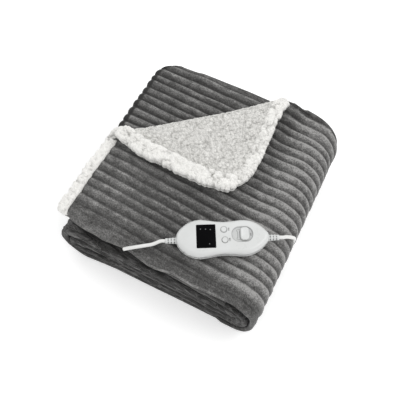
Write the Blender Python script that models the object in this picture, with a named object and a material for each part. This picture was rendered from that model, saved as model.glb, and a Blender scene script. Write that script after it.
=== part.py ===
"""Heated throw blanket, folded flat, with its hand controller lying on top.

Metres, +Z up.  X runs along the ribs of the cloth, from its left edge to the large right fold,
and Y runs away from the front.  The folded cloth rests on z = 0.  The tables and routes below
count from under the front left corner of the top leaf, and the finished pieces are then moved
so that the origin is under the middle of the folded throw.
"""
import math

import bmesh
import bpy
import numpy as np
from mathutils import Matrix, Vector

MM = 0.001
MIDDLE = (153.8 * MM, 157.8 * MM)    # middle of the folded throw, from the leaf's corner

# ---------------------------------------------------------------- folded cloth
RIB_PITCH = 16.1 * MM        # from one sewn groove to the next
RIB_FIRST = 7.1 * MM         # y of the first full groove, at the right fold
RIB_COUNT = 21               # grooves from the front edge to the back edge
RIB_HEIGHT = 3.5 * MM        # crest above groove
RIB_SKEW = 8.0 * MM          # how far the grooves of the top leaf stray back at its left end
COARSE_RIBS = 3              # ribs between two stations on a smooth face
EDGE_ROUND = 3.0 * MM        # rounding of the cloth's front and back edges
EDGE_FLAT = 0.35             # thickness left at such an edge, as a share
FOLD_X = 262 * MM            # where the top leaf starts to roll over the right fold
HOLLOW_FROM = 20 * MM        # the front hollow closes from this y on
HOLLOW_SLOPE = 110 * MM
FOLD_PUFF = 6 * MM           # how far the top leaf stands up where it starts to roll over
PUFF_X = 250 * MM
PRESS_Y = 92 * MM            # the controller's end presses the cloth down here
PRESS_WIDTH = 40 * MM
SPLAY = 0.036                # the right fold reaches further at the front than at the back
MIDDLE_Y = 160 * MM
BACK_ROUND_Y = 312 * MM      # the right fold's back corner is rounded from here on
BACK_ROUND_X = 5 * MM
BACK_ROUND_LENGTH = 20 * MM
SQUEEZE_Y = 280 * MM         # past here the ribs narrow where a ply's back edge is drawn in

# One row for each ply, in the order in which the cloth runs: x at both ends, height of its
# middle at the left end, halfway and at the right end, thickness, y of its front edge and of
# its back edge (left, halfway, right), share of the rib height that shows on it, steps along
# it, and how much higher its middle lies behind the open hollow at the front.
PLY_COLUMNS = ("name", "x_left", "x_right", "z_left", "z_mid", "z_right", "thick",
               "front_left", "front_mid", "front_right", "back_left", "back_mid", "back_right",
               "ribs", "steps", "fill")
PLIES = (
    ("leaf", 4, 262, 114.5, 114.5, 114.5, 7, -14, -19, -13, 342, 341, 336, 1.0, 5, 0),
    ("floor", 26, 262, 4.4, 4.4, 4.4, 9, -29, -22, -18, 318, 322, 326, 0.0, 2, 0),
    ("pad_top", 24, 266, 77, 45, 68, 9, -28, -22, -17, 318, 322, 324, 0.0, 5, 30),
    ("pad_upper", 20, 268, 47, 27.5, 46, 8, -26, -20, -16, 318, 320, 322, 0.0, 3, 20),
    ("pad_lower", 20, 268, 24, 15, 28, 8, -28, -22, -17, 318, 320, 322, 0.0, 3, 9),
    ("under", -12, 272, 89.5, 88.5, 85.5, 7, -6, -8, -14, 326, 334, 334, 0.0, 3, 0),
    ("second", -12, 272, 98.5, 98.5, 98.5, 7, -4, -12, -15, 332, 340, 342, 0.86, 4, 0),
)
# One row for each bend that joins two plies, in the same order: side, reach past the plies'
# ends, points round the bend, and how square its two halves are (1 is an ellipse).
BEND_COLUMNS = ("side", "reach", "steps", "square_from", "square_to")
BENDS = (
    ("right", 58, 9, 0.74, 0.82),
    ("left", 35, 6, 0.9, 1.0),
    ("right", 9, 3, 1.0, 1.0),
    ("left", 9, 3, 1.0, 1.0),
    ("right", 33, 5, 1.0, 1.0),
    ("left", 8, 4, 1.0, 1.0),
)
CORNER_ROUND_Y = 290 * MM    # the second leaf's back left corner is rounded from here on
CORNER_ROUND_X = 40 * MM
CORNER_ROUND_LENGTH = 46 * MM
CORNER_ROUND_WIDTH = 60 * MM

# ---------------------------------------------------------------- turned corner
TURN_A = (-18 * MM, 129 * MM)    # the corner is turned over the line from A to B
TURN_B = (217 * MM, 335 * MM)
# The corner before it is turned: how far its left edge strays from x = -18 at each y, and its
# back edge and rounded tip, as x and y.
CORNER_LEFT = (
    (129, 0), (150, -7), (177, -13), (200, -15), (231, -16), (266, -12), (293, -8.5), (317, -5),
    (336, -1), (359, 6), (376, 13), (390, 17),
)
CORNER_BACK = (
    (217, 336), (190, 363), (171, 363), (148, 365), (114, 376), (82, 382), (47, 389), (27, 389.5),
    (-1, 382), (-18, 376),
)
CORNER_FADE = 60 * MM            # the left edge's straying fades out over this distance
SHEET_FRONT = -11 * MM
SHEET_RIGHT = 262 * MM
SHEET_BACK = 336 * MM
SHEET_Z = 106.5 * MM         # underside of the pale backing below the top leaf
BACKING_THICK = 4 * MM
FLAP_THICK = 9 * MM
HEM_THICK = 13 * MM
HEM_WIDTH = 16 * MM
FLAP_REST = 122.2 * MM       # underside of the turned corner, on the ribs
HOOD_LIFT = 8 * MM           # how far the turned corner arches up near B
HOOD_LENGTH = 75 * MM
LEAF_LIFT = 6 * MM           # how far the top leaf lifts below that arch
ROLL_FLAT = 0.4              # how much flatter the roll is halfway between A and B
FOLD_STEPS = 4

# ---------------------------------------------------------------- controller
CONTROLLER_AT = (232 * MM, 65 * MM, 122.6 * MM)
CONTROLLER_TURN = math.radians(30.6)
# Half of the case's outline: station along its length and half width there.
CASE_COLUMNS = ("along", "half_width")
CASE_OUTLINE = (
    (-69.5, 0), (-68.2, 7), (-64.5, 13.5), (-58, 20), (-49, 25.8), (-37, 29.2), (-24, 28.6),
    (-10, 26.2), (3, 25.0), (16, 25.8), (29, 27.0), (41, 25.8), (51, 21.6), (59, 16),
    (65, 9.8), (68.6, 5), (69.5, 0),
)
CASE_END = 69.5 * MM         # half of its length
CASE_HEIGHT = 21 * MM
CASE_SPLIT = 9 * MM          # height of the joint between base and cover
CASE_GAP = 0.3 * MM
COVER_ROUND = 6.5 * MM
BASE_ROUND = 4.5 * MM
WINDOW_AT = (-24.5 * MM, 1.5 * MM)
WINDOW_SIZE = (27 * MM, 35.5 * MM)
WINDOW_DEEP = 1.2 * MM
WINDOW_ROUND = 1.2 * MM
WINDOW_PROUD = 0.15 * MM
BUTTONS = (("button_upper", 2.3 * MM, 11.0 * MM), ("button_lower", 3.3 * MM, -5.6 * MM))
BUTTON_RADIUS = 4.2 * MM
BUTTON_PROUD = 1.4 * MM
BUTTON_DEEP = 2.6 * MM
BUTTON_TRAVEL = 1.0 * MM
BUTTON_RIM = 0.7 * MM
SWITCH_AT = (29.5 * MM, 3.0 * MM)
SWITCH_WELL = (31 * MM, 23 * MM)
SWITCH_WELL_ROUND = 11 * MM
SWITCH_WELL_DEEP = 2.4 * MM
KNOB_AT = 33.0 * MM
KNOB_SIZE = (12.5 * MM, 20 * MM, 5.2 * MM)
KNOB_ROUND = 4.5 * MM
KNOB_RIM = 1.6 * MM
FIT = 0.4 * MM               # clearance round everything that moves or sits in a pocket
RELIEF_ROOT = 5 * MM         # length of a strain relief inside the case
RELIEF_OUT = 16 * MM         # and outside it
RELIEF_RADIUS = (5.4 * MM, 3.9 * MM)
RELIEF_Z = 9 * MM            # height of the leads' axis above the case's underside

# ---------------------------------------------------------------- leads
CORD = 5.5 * MM              # diameter of both leads
CORD_STEP = 2.4              # distance of a tube's points, in diameters
CORD_STUB = 2 * MM           # straight start of a tube at its strain relief
SOCKET_LENGTH = 14 * MM      # hole in the cloth's edge where a lead enters it
HANK_MIDDLE = (150 * MM, 359 * MM)
HANK_RUN = 95 * MM           # straight part of its turns
HANK_WIDTH = 50 * MM
HANK_HEIGHT = 17 * MM
HANK_RIM = 3 * MM
PLUG_AT = (62 * MM, 346 * MM, 7.1 * MM)     # where the lead enters the plug
PLUG_LENGTH = 36 * MM
PLUG_WIDTHS = (13 * MM, 35 * MM)            # at the lead and at the pins
PLUG_NECK = (6 * MM, 24 * MM)               # the plug widens between these distances
PLUG_THICK = 13.8 * MM
PLUG_RIM = 2.5 * MM
PIN_RADIUS = 2 * MM
PIN_LENGTH = 19 * MM
PIN_ROOT = 6 * MM
PIN_APART = 19 * MM

WHITE = (0.83, 0.84, 0.84, 1.0)


# ================================================================ scene helpers
def new_collection(name):
    """A collection linked to the scene."""
    group = bpy.data.collections.new(name)
    bpy.context.scene.collection.children.link(group)
    return group


def new_material(name, colour, roughness, metallic=0.0):
    """A Principled material of one colour."""
    material = bpy.data.materials.new(name)
    material.use_nodes = True
    shader = material.node_tree.nodes["Principled BSDF"]
    shader.inputs["Base Color"].default_value = colour
    shader.inputs["Roughness"].default_value = roughness
    shader.inputs["Metallic"].default_value = metallic
    return material


def new_object(name, mesh, group, material=None, smooth_angle=None):
    """An object for a finished mesh, in the given collection."""
    thing = bpy.data.objects.new(name, mesh)
    group.objects.link(thing)
    if material:
        mesh.materials.append(material)
    if smooth_angle:
        mesh.shade_smooth()
        mesh.set_sharp_from_angle(angle=smooth_angle)
    return thing


def mesh_from_bmesh(name, shape):
    """Turns a bmesh into a mesh with its faces pointing out."""
    bmesh.ops.recalc_face_normals(shape, faces=shape.faces)
    mesh = bpy.data.meshes.new(name)
    shape.to_mesh(mesh)
    shape.free()
    return mesh


def cut(thing, cutter):
    """Takes the cutter's volume out of an object."""
    modifier = thing.modifiers.new("cut_" + cutter.name, "BOOLEAN")
    modifier.operation = "DIFFERENCE"
    modifier.solver = "EXACT"
    modifier.object = cutter
    cutter.hide_render = True
    cutter.display_type = "WIRE"


def smooth_curve(route, spacing):
    """Points about one spacing apart on a Catmull-Rom curve through a route."""
    route = [Vector(point) for point in route]
    ends = [2 * route[0] - route[1]] + route + [2 * route[-1] - route[-2]]
    dense = []
    for before, start, end, after in zip(ends, ends[1:], ends[2:], ends[3:]):
        for step in range(24):
            t = step / 24
            dense.append(0.5 * (2 * start + (end - before) * t
                                + (2 * before - 5 * start + 4 * end - after) * t * t
                                + (3 * start - before - 3 * end + after) * t ** 3))
    dense.append(route[-1])
    lengths = [0.0]
    for start, end in zip(dense, dense[1:]):
        lengths.append(lengths[-1] + (end - start).length)
    count = max(6, round(lengths[-1] / spacing)) + 1
    wanted = np.linspace(0, lengths[-1], count)
    columns = [np.interp(wanted, lengths, [point[axis] for point in dense]) for axis in range(3)]
    return np.stack(columns, axis=1)


# ================================================================ folded cloth
def ply_rows():
    """Stations along the cloth, from the top leaf's left edge to its other end.

    Each ply is a run between its two ends, with its height and its edges on a parabola
    through three values, and each bend is half an ellipse between the ends of two plies.
    """
    plies = [dict(zip(PLY_COLUMNS, row)) for row in PLIES]
    bends = [dict(zip(BEND_COLUMNS, row)) for row in BENDS]

    def at(ply, share):
        """Values of a ply at a share of its way from left to right."""
        def parabola(left, middle, right):
            return (left * (1 - share) * (1 - 2 * share) + 4 * middle * share * (1 - share)
                    + right * share * (2 * share - 1))
        return dict(
            x=ply["x_left"] + (ply["x_right"] - ply["x_left"]) * share,
            z=parabola(ply["z_left"], ply["z_mid"], ply["z_right"]),
            thick=ply["thick"],
            front=parabola(ply["front_left"], ply["front_mid"], ply["front_right"]),
            back=parabola(ply["back_left"], ply["back_mid"], ply["back_right"]),
            ribs=ply["ribs"], name=ply["name"], fill=4 * ply["fill"] * share * (1 - share))

    rows = []
    to_right = True
    for index, ply in enumerate(plies):
        shares = np.linspace(0, 1, ply["steps"] + 1)
        if not to_right:
            shares = shares[::-1]
        rows += [at(ply, share) for share in shares]
        if index < len(bends):
            bend = bends[index]
            side = 1 if bend["side"] == "right" else -1
            start = rows[-1]
            end = at(plies[index + 1], 1.0 if to_right else 0.0)
            for step in range(1, bend["steps"]):
                angle = math.pi * step / bend["steps"]
                power = bend["square_from"] if angle < math.pi / 2 else bend["square_to"]
                share = (1 - math.copysign(abs(math.cos(angle)) ** power, math.cos(angle))) / 2
                row = {key: start[key] * (1 - share) + end[key] * share
                       for key in ("x", "z", "thick", "front", "back", "ribs")}
                row["x"] += side * bend["reach"] * math.sin(angle) ** power
                row["name"], row["fill"] = "bend", 0.0
                rows.append(row)
        to_right = not to_right
    return rows


def rib_stations():
    """Stations across the ribs: (y of the station, height share, whether coarse)."""
    stations = []
    for rib in range(RIB_COUNT):
        groove = RIB_FIRST + rib * RIB_PITCH
        stations.append((groove, 0.0, rib % COARSE_RIBS == 0 or rib == RIB_COUNT - 1))
        if rib < RIB_COUNT - 1:
            stations.append((groove + 0.3 * RIB_PITCH, 0.9, False))
            stations.append((groove + 0.68 * RIB_PITCH, 1.0, False))
    return stations


def smooth_step(value):
    """0 below 0, 1 above 1 and smooth between."""
    value = min(max(value, 0.0), 1.0)
    return value * value * (3 - 2 * value)


def cloth_rows():
    """Face and back points of every row, as lists that run from the front edge to the back.

    The lowest layer's face is flat where it lies on the floor.
    """
    rows = ply_rows()
    path = np.array([(row["x"], row["z"]) for row in rows]) * MM
    along = np.gradient(path, axis=0)
    along /= np.linalg.norm(along, axis=1)[:, None]
    faces_out = np.stack([-along[:, 1], along[:, 0]], axis=1)
    stations = rib_stations()
    coarse = [0, 1, 2] + [3 + i for i, s in enumerate(stations) if s[2]]
    last = 3 + len(stations)
    coarse += [last, last + 1]
    table = []
    for index, row in enumerate(rows):
        front, back = row["front"] * MM, row["back"] * MM
        x, z = path[index]
        skew = RIB_SKEW * (1 - smooth_step(x / FOLD_X)) if row["name"] == "leaf" else 0.0
        ribs = row["ribs"]
        if row["name"] == "bend" and x > FOLD_X + 10 * MM:
            ribs = smooth_step((z - 8 * MM) / (30 * MM)) if ribs > 0.05 else 0.0
        first = front + EDGE_ROUND
        places = [(front, EDGE_FLAT, 0.0), (first, 1.0, 0.0),
                  ((first + RIB_FIRST + skew) / 2, 1.0, 0.35 * ribs)]
        room = min((back - 2 * EDGE_ROUND - SQUEEZE_Y) / (stations[-1][0] + skew - SQUEEZE_Y), 1.0)
        places += [(min(y + skew, SQUEEZE_Y) + max(y + skew - SQUEEZE_Y, 0.0) * room,
                    1.0, height * ribs) for y, height, _ in stations]
        places += [(back - EDGE_ROUND, 1.0, 0.0), (back, EDGE_FLAT, 0.0)]
        half = row["thick"] * MM / 2
        face_points, back_points = [], []
        for y, share, height in places:
            out_x, out_z = faces_out[index]
            drawn_x = x + cloth_shift_x(row, x, y, z)
            drawn_z = z + cloth_shift_z(row, x, y)
            rise = half * share + height * RIB_HEIGHT
            face_z = max(drawn_z + out_z * rise, 0.0)
            face_points.append((drawn_x + out_x * rise, y, face_z))
            back_points.append((drawn_x - out_x * half * share, y, drawn_z - out_z * half * share))
        table.append((face_points, back_points, ribs > 0.02))
    return table, coarse, last + 2


def cloth_shift_x(row, x, y, z):
    """The right fold splays towards the front, and the second leaf's corner is rounded."""
    right = smooth_step((x - 0.6 * FOLD_X) / (0.4 * FOLD_X))
    shift = SPLAY * (MIDDLE_Y - y) * right
    shift -= BACK_ROUND_X * right * (max(y - BACK_ROUND_Y, 0) / BACK_ROUND_LENGTH) ** 2
    if z > 80 * MM and x < CORNER_ROUND_WIDTH and row["name"] != "leaf" and y > CORNER_ROUND_Y:
        round_off = ((y - CORNER_ROUND_Y) / CORNER_ROUND_LENGTH) ** 3
        shift += CORNER_ROUND_X * round_off * (1 - smooth_step(x / CORNER_ROUND_WIDTH))
    return shift


def cloth_shift_z(row, x, y):
    """The pad fills up behind the hollow; the top leaf is fuller before the right fold, and
    lifts where the turned corner ends."""
    if row["fill"]:
        return row["fill"] * MM * smooth_step((y - HOLLOW_FROM) / HOLLOW_SLOPE)
    if row["name"] not in ("leaf", "bend") or row["z"] < 70:
        return 0.0
    near_b = math.exp(-((x - 235 * MM) / (34 * MM)) ** 2)
    lift = LEAF_LIFT * near_b * smooth_step((y - 270 * MM) / (60 * MM))
    pressed = math.exp(-((y - PRESS_Y) / PRESS_WIDTH) ** 2)
    puff = FOLD_PUFF * smooth_step((x - PUFF_X) / (40 * MM)) * smooth_step(row["z"] / 70 - 1)
    return lift + puff * (1 - pressed)


def folded_cloth():
    """One closed solid: the cloth's ribbed face, its smooth back and the edges between."""
    table, coarse, width = cloth_rows()
    everything = list(range(width))
    shape = bmesh.new()
    face_side, back_side = [], []
    for number, (face_points, back_points, _) in enumerate(table):
        near = table[max(number - 1, 0)][2] or table[min(number + 1, len(table) - 1)][2]
        wanted = everything if table[number][2] and near else coarse
        face_side.append({i: shape.verts.new(face_points[i]) for i in wanted})
        wanted = everything if number in (0, len(table) - 1) else coarse
        back_side.append({i: shape.verts.new(back_points[i]) for i in wanted})

    def strip(first, second):
        """Faces between two rows that share the coarse stations."""
        for low, high in zip(coarse, coarse[1:]):
            one = [first[i] for i in range(low, high + 1) if i in first]
            two = [second[i] for i in range(low, high + 1) if i in second]
            if len(one) == len(two):
                for k in range(len(one) - 1):
                    shape.faces.new((one[k], one[k + 1], two[k + 1], two[k]))
                continue
            long, short = (one, two) if len(one) > len(two) else (two, one)
            middle = len(long) // 2
            for k in range(len(long) - 1):
                shape.faces.new((short[0] if k < middle else short[1], long[k], long[k + 1]))
            shape.faces.new((short[0], long[middle], short[1]))

    last = width - 1
    for number in range(len(table) - 1):
        strip(face_side[number], face_side[number + 1])
        strip(back_side[number], back_side[number + 1])
        for end in (0, last):
            shape.faces.new((face_side[number][end], face_side[number + 1][end],
                             back_side[number + 1][end], back_side[number][end]))
    strip(face_side[0], back_side[0])
    strip(face_side[-1], back_side[-1])
    return mesh_from_bmesh("ribbed_face", shape)


# ================================================================ turned corner
def turn_frame():
    """Start of the turning line, its direction, the direction across it and its length."""
    start, end = Vector(TURN_A), Vector(TURN_B)
    along = (end - start).normalized()
    across = Vector((-along.y, along.x))
    return start, along, across, (end - start).length


def sheet_thickness(x, beyond):
    """Thin below the top leaf, thicker on the turned corner, thickest at the rolled hem."""
    hem = 1 - smooth_step((x - TURN_A[0] - HEM_WIDTH) / (5 * MM))
    plain = BACKING_THICK + (FLAP_THICK - BACKING_THICK) * smooth_step(beyond / (20 * MM))
    return plain + (HEM_THICK - plain) * hem


def turn_point(x, y, level):
    """Where a point of the flat sheet goes; level 0 is its underside and 1 its upper side.

    The corner's left edge strays as in its table. Past the line from A to B the sheet rolls
    over half a circle, flattened between A and B, and lies back on the ribs. That circle
    widens towards B, where the cloth arches up.
    """
    start, along, across, length = turn_frame()
    places, strays = zip(*CORNER_LEFT)
    stray = float(np.interp(y / MM, places, strays)) * MM
    stray *= 1 - smooth_step((x - TURN_A[0]) / CORNER_FADE)
    flat = Vector((x + stray, y)) - start
    run, beyond = flat.dot(along), flat.dot(across)
    thick = sheet_thickness(x, beyond)
    if beyond <= 0:
        return Vector((x + stray, y, SHEET_Z + level * thick))
    near_b = smooth_step((run - length + HOOD_LENGTH * 1.6) / (HOOD_LENGTH * 1.6))
    fade = math.exp(-max(beyond - 25 * MM, 0) / (60 * MM))
    top = FLAP_REST + thick + HOOD_LIFT * near_b * fade
    radius = (top - SHEET_Z) / 2
    roll = math.pi * (FLAP_REST + FLAP_THICK - SHEET_Z) / 2
    angle = min(beyond / roll, 1.0) * math.pi
    inner = radius - level * thick
    flatter = 1 - ROLL_FLAT * math.sin(math.pi * min(max(run / length, 0), 1))
    reach = inner * flatter * math.sin(angle) - max(beyond - roll, 0.0)
    place = start + along * run + across * reach
    return Vector((place.x, place.y, (SHEET_Z + top) / 2 - inner * math.cos(angle)))


def pale_backing():
    """The sheet is cut out flat, scored, given a thickness and then turned over its line."""
    start, along, across, length = turn_frame()
    left = TURN_A[0]
    shape = bmesh.new()
    corners = [(left, SHEET_FRONT), (SHEET_RIGHT, SHEET_FRONT), (SHEET_RIGHT, SHEET_BACK)]
    corners += [(x * MM, y * MM) for x, y in CORNER_BACK]
    shape.faces.new([shape.verts.new((x, y, 0)) for x, y in corners])

    def score(point, normal):
        """Cuts the flat sheet along a straight line."""
        parts = shape.verts[:] + shape.edges[:] + shape.faces[:]
        bmesh.ops.bisect_plane(shape, geom=parts, plane_co=(point[0], point[1], 0),
                               plane_no=(normal[0], normal[1], 0), dist=1e-6)

    roll = math.pi * (FLAP_REST + FLAP_THICK - SHEET_Z) / 2
    lines = [roll * step / FOLD_STEPS for step in range(FOLD_STEPS + 1)]
    lines += [45 * MM, 72 * MM, 100 * MM, 140 * MM]
    for distance in lines:
        score(start + across * distance, across)
    for share in (0.2, 0.36, 0.52, 0.68, 0.84, 0.94):
        score(start + along * length * share, along)
    for x in (left + 3 * MM, left + HEM_WIDTH, left + HEM_WIDTH + 5 * MM):
        score((x, 0), (1, 0))
    bmesh.ops.remove_doubles(shape, verts=shape.verts, dist=0.05 * MM)
    top = bmesh.ops.extrude_face_region(shape, geom=shape.faces[:])
    raised = [part for part in top["geom"] if isinstance(part, bmesh.types.BMVert)]
    for vert in raised:
        vert.co.z = 1.0
    for vert in shape.verts:
        vert.co = turn_point(vert.co.x, vert.co.y, vert.co.z)
    bmesh.ops.triangulate(shape, faces=shape.faces)
    return mesh_from_bmesh("pale_backing", shape)


def corner_cutter(group):
    """A prism that takes the turned corner out of the top leaf."""
    start, along, across, length = turn_frame()
    low, high = SHEET_Z + 1 * MM, FLAP_REST + 30 * MM
    first = start - along * 60 * MM - across * 1.2 * MM
    second = Vector((TURN_B[0], TURN_B[1])) + along * 40 * MM - across * 1.2 * MM
    outline = [first, second, second + across * 200 * MM, first + across * 320 * MM]
    shape = bmesh.new()
    floor = [shape.verts.new((point.x, point.y, low)) for point in outline]
    base = shape.faces.new(floor)
    lifted = bmesh.ops.extrude_face_region(shape, geom=[base])
    for part in lifted["geom"]:
        if isinstance(part, bmesh.types.BMVert):
            part.co.z = high
    return new_object("corner_cutter", mesh_from_bmesh("corner_cutter", shape), group)


def lead_socket(group):
    """A cutter for the hole in the leaf's front edge where a lead enters the cloth."""
    before, end = (Vector(point) * MM for point in BLANKET_ROUTE[-2:])
    axis = (before - end).normalized()
    mesh = prism("lead_socket", circle(CORD / 2 + FIT), 0, SOCKET_LENGTH)
    hole = new_object("lead_socket", mesh, group)
    hole.rotation_euler = axis.to_track_quat("Z", "Y").to_euler()
    hole.location = end - axis * FIT
    return hole


# ================================================================ controller
def controller_empty():
    """The frame of the controller: X along its case, origin at the middle of its underside."""
    frame = bpy.data.objects.new("controller_frame", None)
    bpy.context.scene.collection.objects.link(frame)
    frame.location = CONTROLLER_AT
    frame.rotation_euler = (0, 0, CONTROLLER_TURN)
    return frame


def place(thing, frame, location=(0, 0, 0)):
    """Puts an object in the controller's frame."""
    thing.parent = frame
    thing.location = location


def case_outline():
    """The case's outline as points, smooth through the rows of its table."""
    upper = smooth_curve([(x * MM, y * MM, 0) for x, y in CASE_OUTLINE], 6.5 * MM)
    lower = upper[-2:0:-1] * np.array((1, -1, 1))
    return np.concatenate([upper, lower])


def prism(name, outline, low, high):
    """A mesh with straight walls over a closed outline."""
    shape = bmesh.new()
    face = shape.faces.new([shape.verts.new((x, y, low)) for x, y in outline])
    lifted = bmesh.ops.extrude_face_region(shape, geom=[face])
    for part in lifted["geom"]:
        if isinstance(part, bmesh.types.BMVert):
            part.co.z = high
    return mesh_from_bmesh(name, shape)


def round_rim(thing, top, width, segments=3):
    """Bevels the rim of a prism's upper or lower face."""
    mesh = thing.data
    shape = bmesh.new()
    shape.from_mesh(mesh)
    heights = [vert.co.z for vert in shape.verts]
    level = max(heights) if top else min(heights)
    rim = [edge for edge in shape.edges
           if all(abs(vert.co.z - level) < 1e-6 for vert in edge.verts)]
    bmesh.ops.bevel(shape, geom=rim, offset=width, segments=segments, profile=0.5,
                    affect="EDGES", clamp_overlap=True)
    bmesh.ops.recalc_face_normals(shape, faces=shape.faces)
    shape.to_mesh(mesh)
    shape.free()


def rounded_box(length, width, radius, points=4):
    """Outline of a rectangle with round corners."""
    outline = []
    for quarter, (sign_x, sign_y) in enumerate(((1, 1), (-1, 1), (-1, -1), (1, -1))):
        for step in range(points + 1):
            angle = math.pi / 2 * (quarter + step / points)
            outline.append((sign_x * (length / 2 - radius) + radius * math.cos(angle),
                            sign_y * (width / 2 - radius) + radius * math.sin(angle)))
    return outline


def circle(radius, points=16):
    """Outline of a circle."""
    return [(radius * math.cos(2 * math.pi * k / points), radius * math.sin(2 * math.pi * k / points))
            for k in range(points)]


def controller(parts, cutters, frame):
    """Base, cover, window, buttons, slide knob and strain reliefs."""
    white = new_material("case_white", WHITE, 0.35)
    outline = [(x, y) for x, y, _ in case_outline()]
    base = new_object("controller_base", prism("controller_base", outline, 0,
                                               CASE_SPLIT - CASE_GAP / 2), parts, white, 0.6)
    round_rim(base, False, BASE_ROUND)
    cover = new_object("controller_cover", prism("controller_cover", outline,
                                                 CASE_SPLIT + CASE_GAP / 2, CASE_HEIGHT),
                       parts, white, 0.6)
    round_rim(cover, True, COVER_ROUND, 4)
    place(base, frame)
    place(cover, frame)

    def pocket(name, outline, deep, centre):
        """Cuts a pocket of this outline and depth into the cover's top."""
        mesh = prism(name, outline, CASE_HEIGHT - deep, CASE_HEIGHT + 2 * MM)
        cutter = new_object(name, mesh, cutters)
        place(cutter, frame, (centre[0], centre[1], 0))
        cut(cover, cutter)

    window_outline = rounded_box(*WINDOW_SIZE, WINDOW_ROUND, 2)
    pocket("window_pocket", rounded_box(WINDOW_SIZE[0] + FIT, WINDOW_SIZE[1] + FIT,
                                        WINDOW_ROUND + FIT / 2, 2),
           WINDOW_DEEP + CASE_GAP, WINDOW_AT)
    window = new_object("display_window",
                        prism("display_window", window_outline, CASE_HEIGHT - WINDOW_DEEP,
                              CASE_HEIGHT + WINDOW_PROUD),
                        parts, new_material("window_black", (0.012, 0.012, 0.013, 1), 0.12))
    place(window, frame, (*WINDOW_AT, 0))

    for name, x, y in BUTTONS:
        pocket(name + "_well", circle(BUTTON_RADIUS + FIT),
               BUTTON_DEEP + BUTTON_TRAVEL + FIT, (x, y))
        button = new_object(name, prism(name, circle(BUTTON_RADIUS), -BUTTON_DEEP, BUTTON_PROUD),
                            parts, new_material(name + "_white", WHITE, 0.4), 0.6)
        round_rim(button, True, BUTTON_RIM, 2)
        place(button, frame, (x, y, CASE_HEIGHT))

    pocket("switch_well", rounded_box(*SWITCH_WELL, SWITCH_WELL_ROUND, 5), SWITCH_WELL_DEEP, SWITCH_AT)
    knob_outline = rounded_box(KNOB_SIZE[0], KNOB_SIZE[1], KNOB_ROUND, 4)
    knob = new_object("switch_knob", prism("switch_knob", knob_outline, 0, KNOB_SIZE[2]),
                      parts, new_material("knob_white", WHITE, 0.32), 0.6)
    round_rim(knob, True, KNOB_RIM, 3)
    place(knob, frame, (KNOB_AT, SWITCH_AT[1], CASE_HEIGHT - SWITCH_WELL_DEEP + CASE_GAP))

    for name, side in (("relief_left", -1), ("relief_right", 1)):
        strain_relief(name, side, base, cover, parts, cutters, frame)


def strain_relief(name, side, base, cover, parts, cutters, frame):
    """A tapered boot at one end of the case, rooted in a round hole between its halves."""
    end = CASE_END
    bpy.ops.mesh.primitive_cone_add(vertices=16, radius1=RELIEF_RADIUS[0],
                                    radius2=RELIEF_RADIUS[1], depth=RELIEF_ROOT + RELIEF_OUT,
                                    end_fill_type="NGON")
    boot = bpy.context.object
    boot.name = name
    boot.data.name = name
    boot.data.materials.append(new_material(name + "_white", WHITE, 0.5))
    boot.data.shade_smooth()
    boot.data.set_sharp_from_angle(angle=0.6)
    for group in boot.users_collection:
        group.objects.unlink(boot)
    parts.objects.link(boot)
    middle = end + (RELIEF_OUT - RELIEF_ROOT) / 2
    boot.rotation_euler = (0, side * math.pi / 2, 0)
    place(boot, frame, (side * middle, 0, RELIEF_Z))

    hole = new_object(name + "_hole", prism(name + "_hole", circle(RELIEF_RADIUS[0] + FIT), 0,
                                            RELIEF_ROOT + 10 * MM), cutters)
    hole.rotation_euler = (0, side * math.pi / 2, 0)
    place(hole, frame, (side * (end - RELIEF_ROOT - CASE_GAP), 0, RELIEF_Z))
    cut(base, hole)
    cut(cover, hole)


# ================================================================ leads
def controller_point(x, y, z):
    """A point of the controller's frame in world coordinates."""
    turn = Matrix.Rotation(CONTROLLER_TURN, 3, "Z")
    return turn @ Vector((x, y, z)) + Vector(CONTROLLER_AT)


def lead(name, route, parts, material):
    """A plain tube along a smooth curve through the route, welded shut at its caps."""
    curve = bpy.data.curves.new(name, "CURVE")
    curve.dimensions = "3D"
    curve.bevel_depth = CORD / 2
    curve.bevel_resolution = 2
    curve.use_fill_caps = True
    points = smooth_curve(route, CORD * CORD_STEP)
    stub = Vector(route[0]) + (Vector(route[1]) - Vector(route[0])).normalized() * CORD_STUB
    points = np.insert(points, 1, stub, axis=0)
    spline = curve.splines.new("POLY")
    spline.points.add(len(points) - 1)
    for slot, point in zip(spline.points, points):
        slot.co = (*point, 1)
    curve.materials.append(material)
    tube = bpy.data.objects.new(name, curve)
    parts.objects.link(tube)


def lead_exit(side):
    """Where a lead leaves its strain relief, and a point straight on from there."""
    reach = CASE_END + RELIEF_OUT + CASE_GAP
    return [controller_point(side * distance, 0, RELIEF_Z)
            for distance in (reach, reach + 7 * MM)]


# The lead to the cloth: it sags to the leaf and enters the cloth at the leaf's front edge.
BLANKET_ROUTE = (
    (144, 8.6, 129), (134, -0.6, 128), (126, -7.5, 126.5), (120, -12.4, 123.6),
    (116, -15.7, 120.4), (112, -19, 117.2),
)
# The mains lead: down the right fold in a groove, tucked under its round, along it to the back.
MAINS_ROUTE = (
    (319.5, 116.6, 124.4), (325.6, 119.6, 116), (329, 120.2, 104), (330.4, 120.6, 88),
    (331.4, 122.5, 70), (332.3, 127.5, 55), (331.2, 134.5, 42), (327.2, 142, 30),
    (321, 148.5, 18.5), (315, 156.5, 9), (310, 168, 3.8), (307.6, 186, 2.95),
    (306.4, 215, 2.95), (305, 250, 2.95), (303.5, 280, 2.95), (300, 303, 2.95),
    (291, 321, 2.95), (277, 332.5, 2.95), (258, 337, 2.95), (235, 337, 2.95), (214, 337, 2.95),
)
# From the stored turns to the plug.
TAIL_ROUTE = (
    (81.5, 340.4, 13.2), (77, 342.4, 10.8), (71.5, 345, 8), (66, 346, 7.1), (62.6, 346, 7.1),
)


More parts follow.
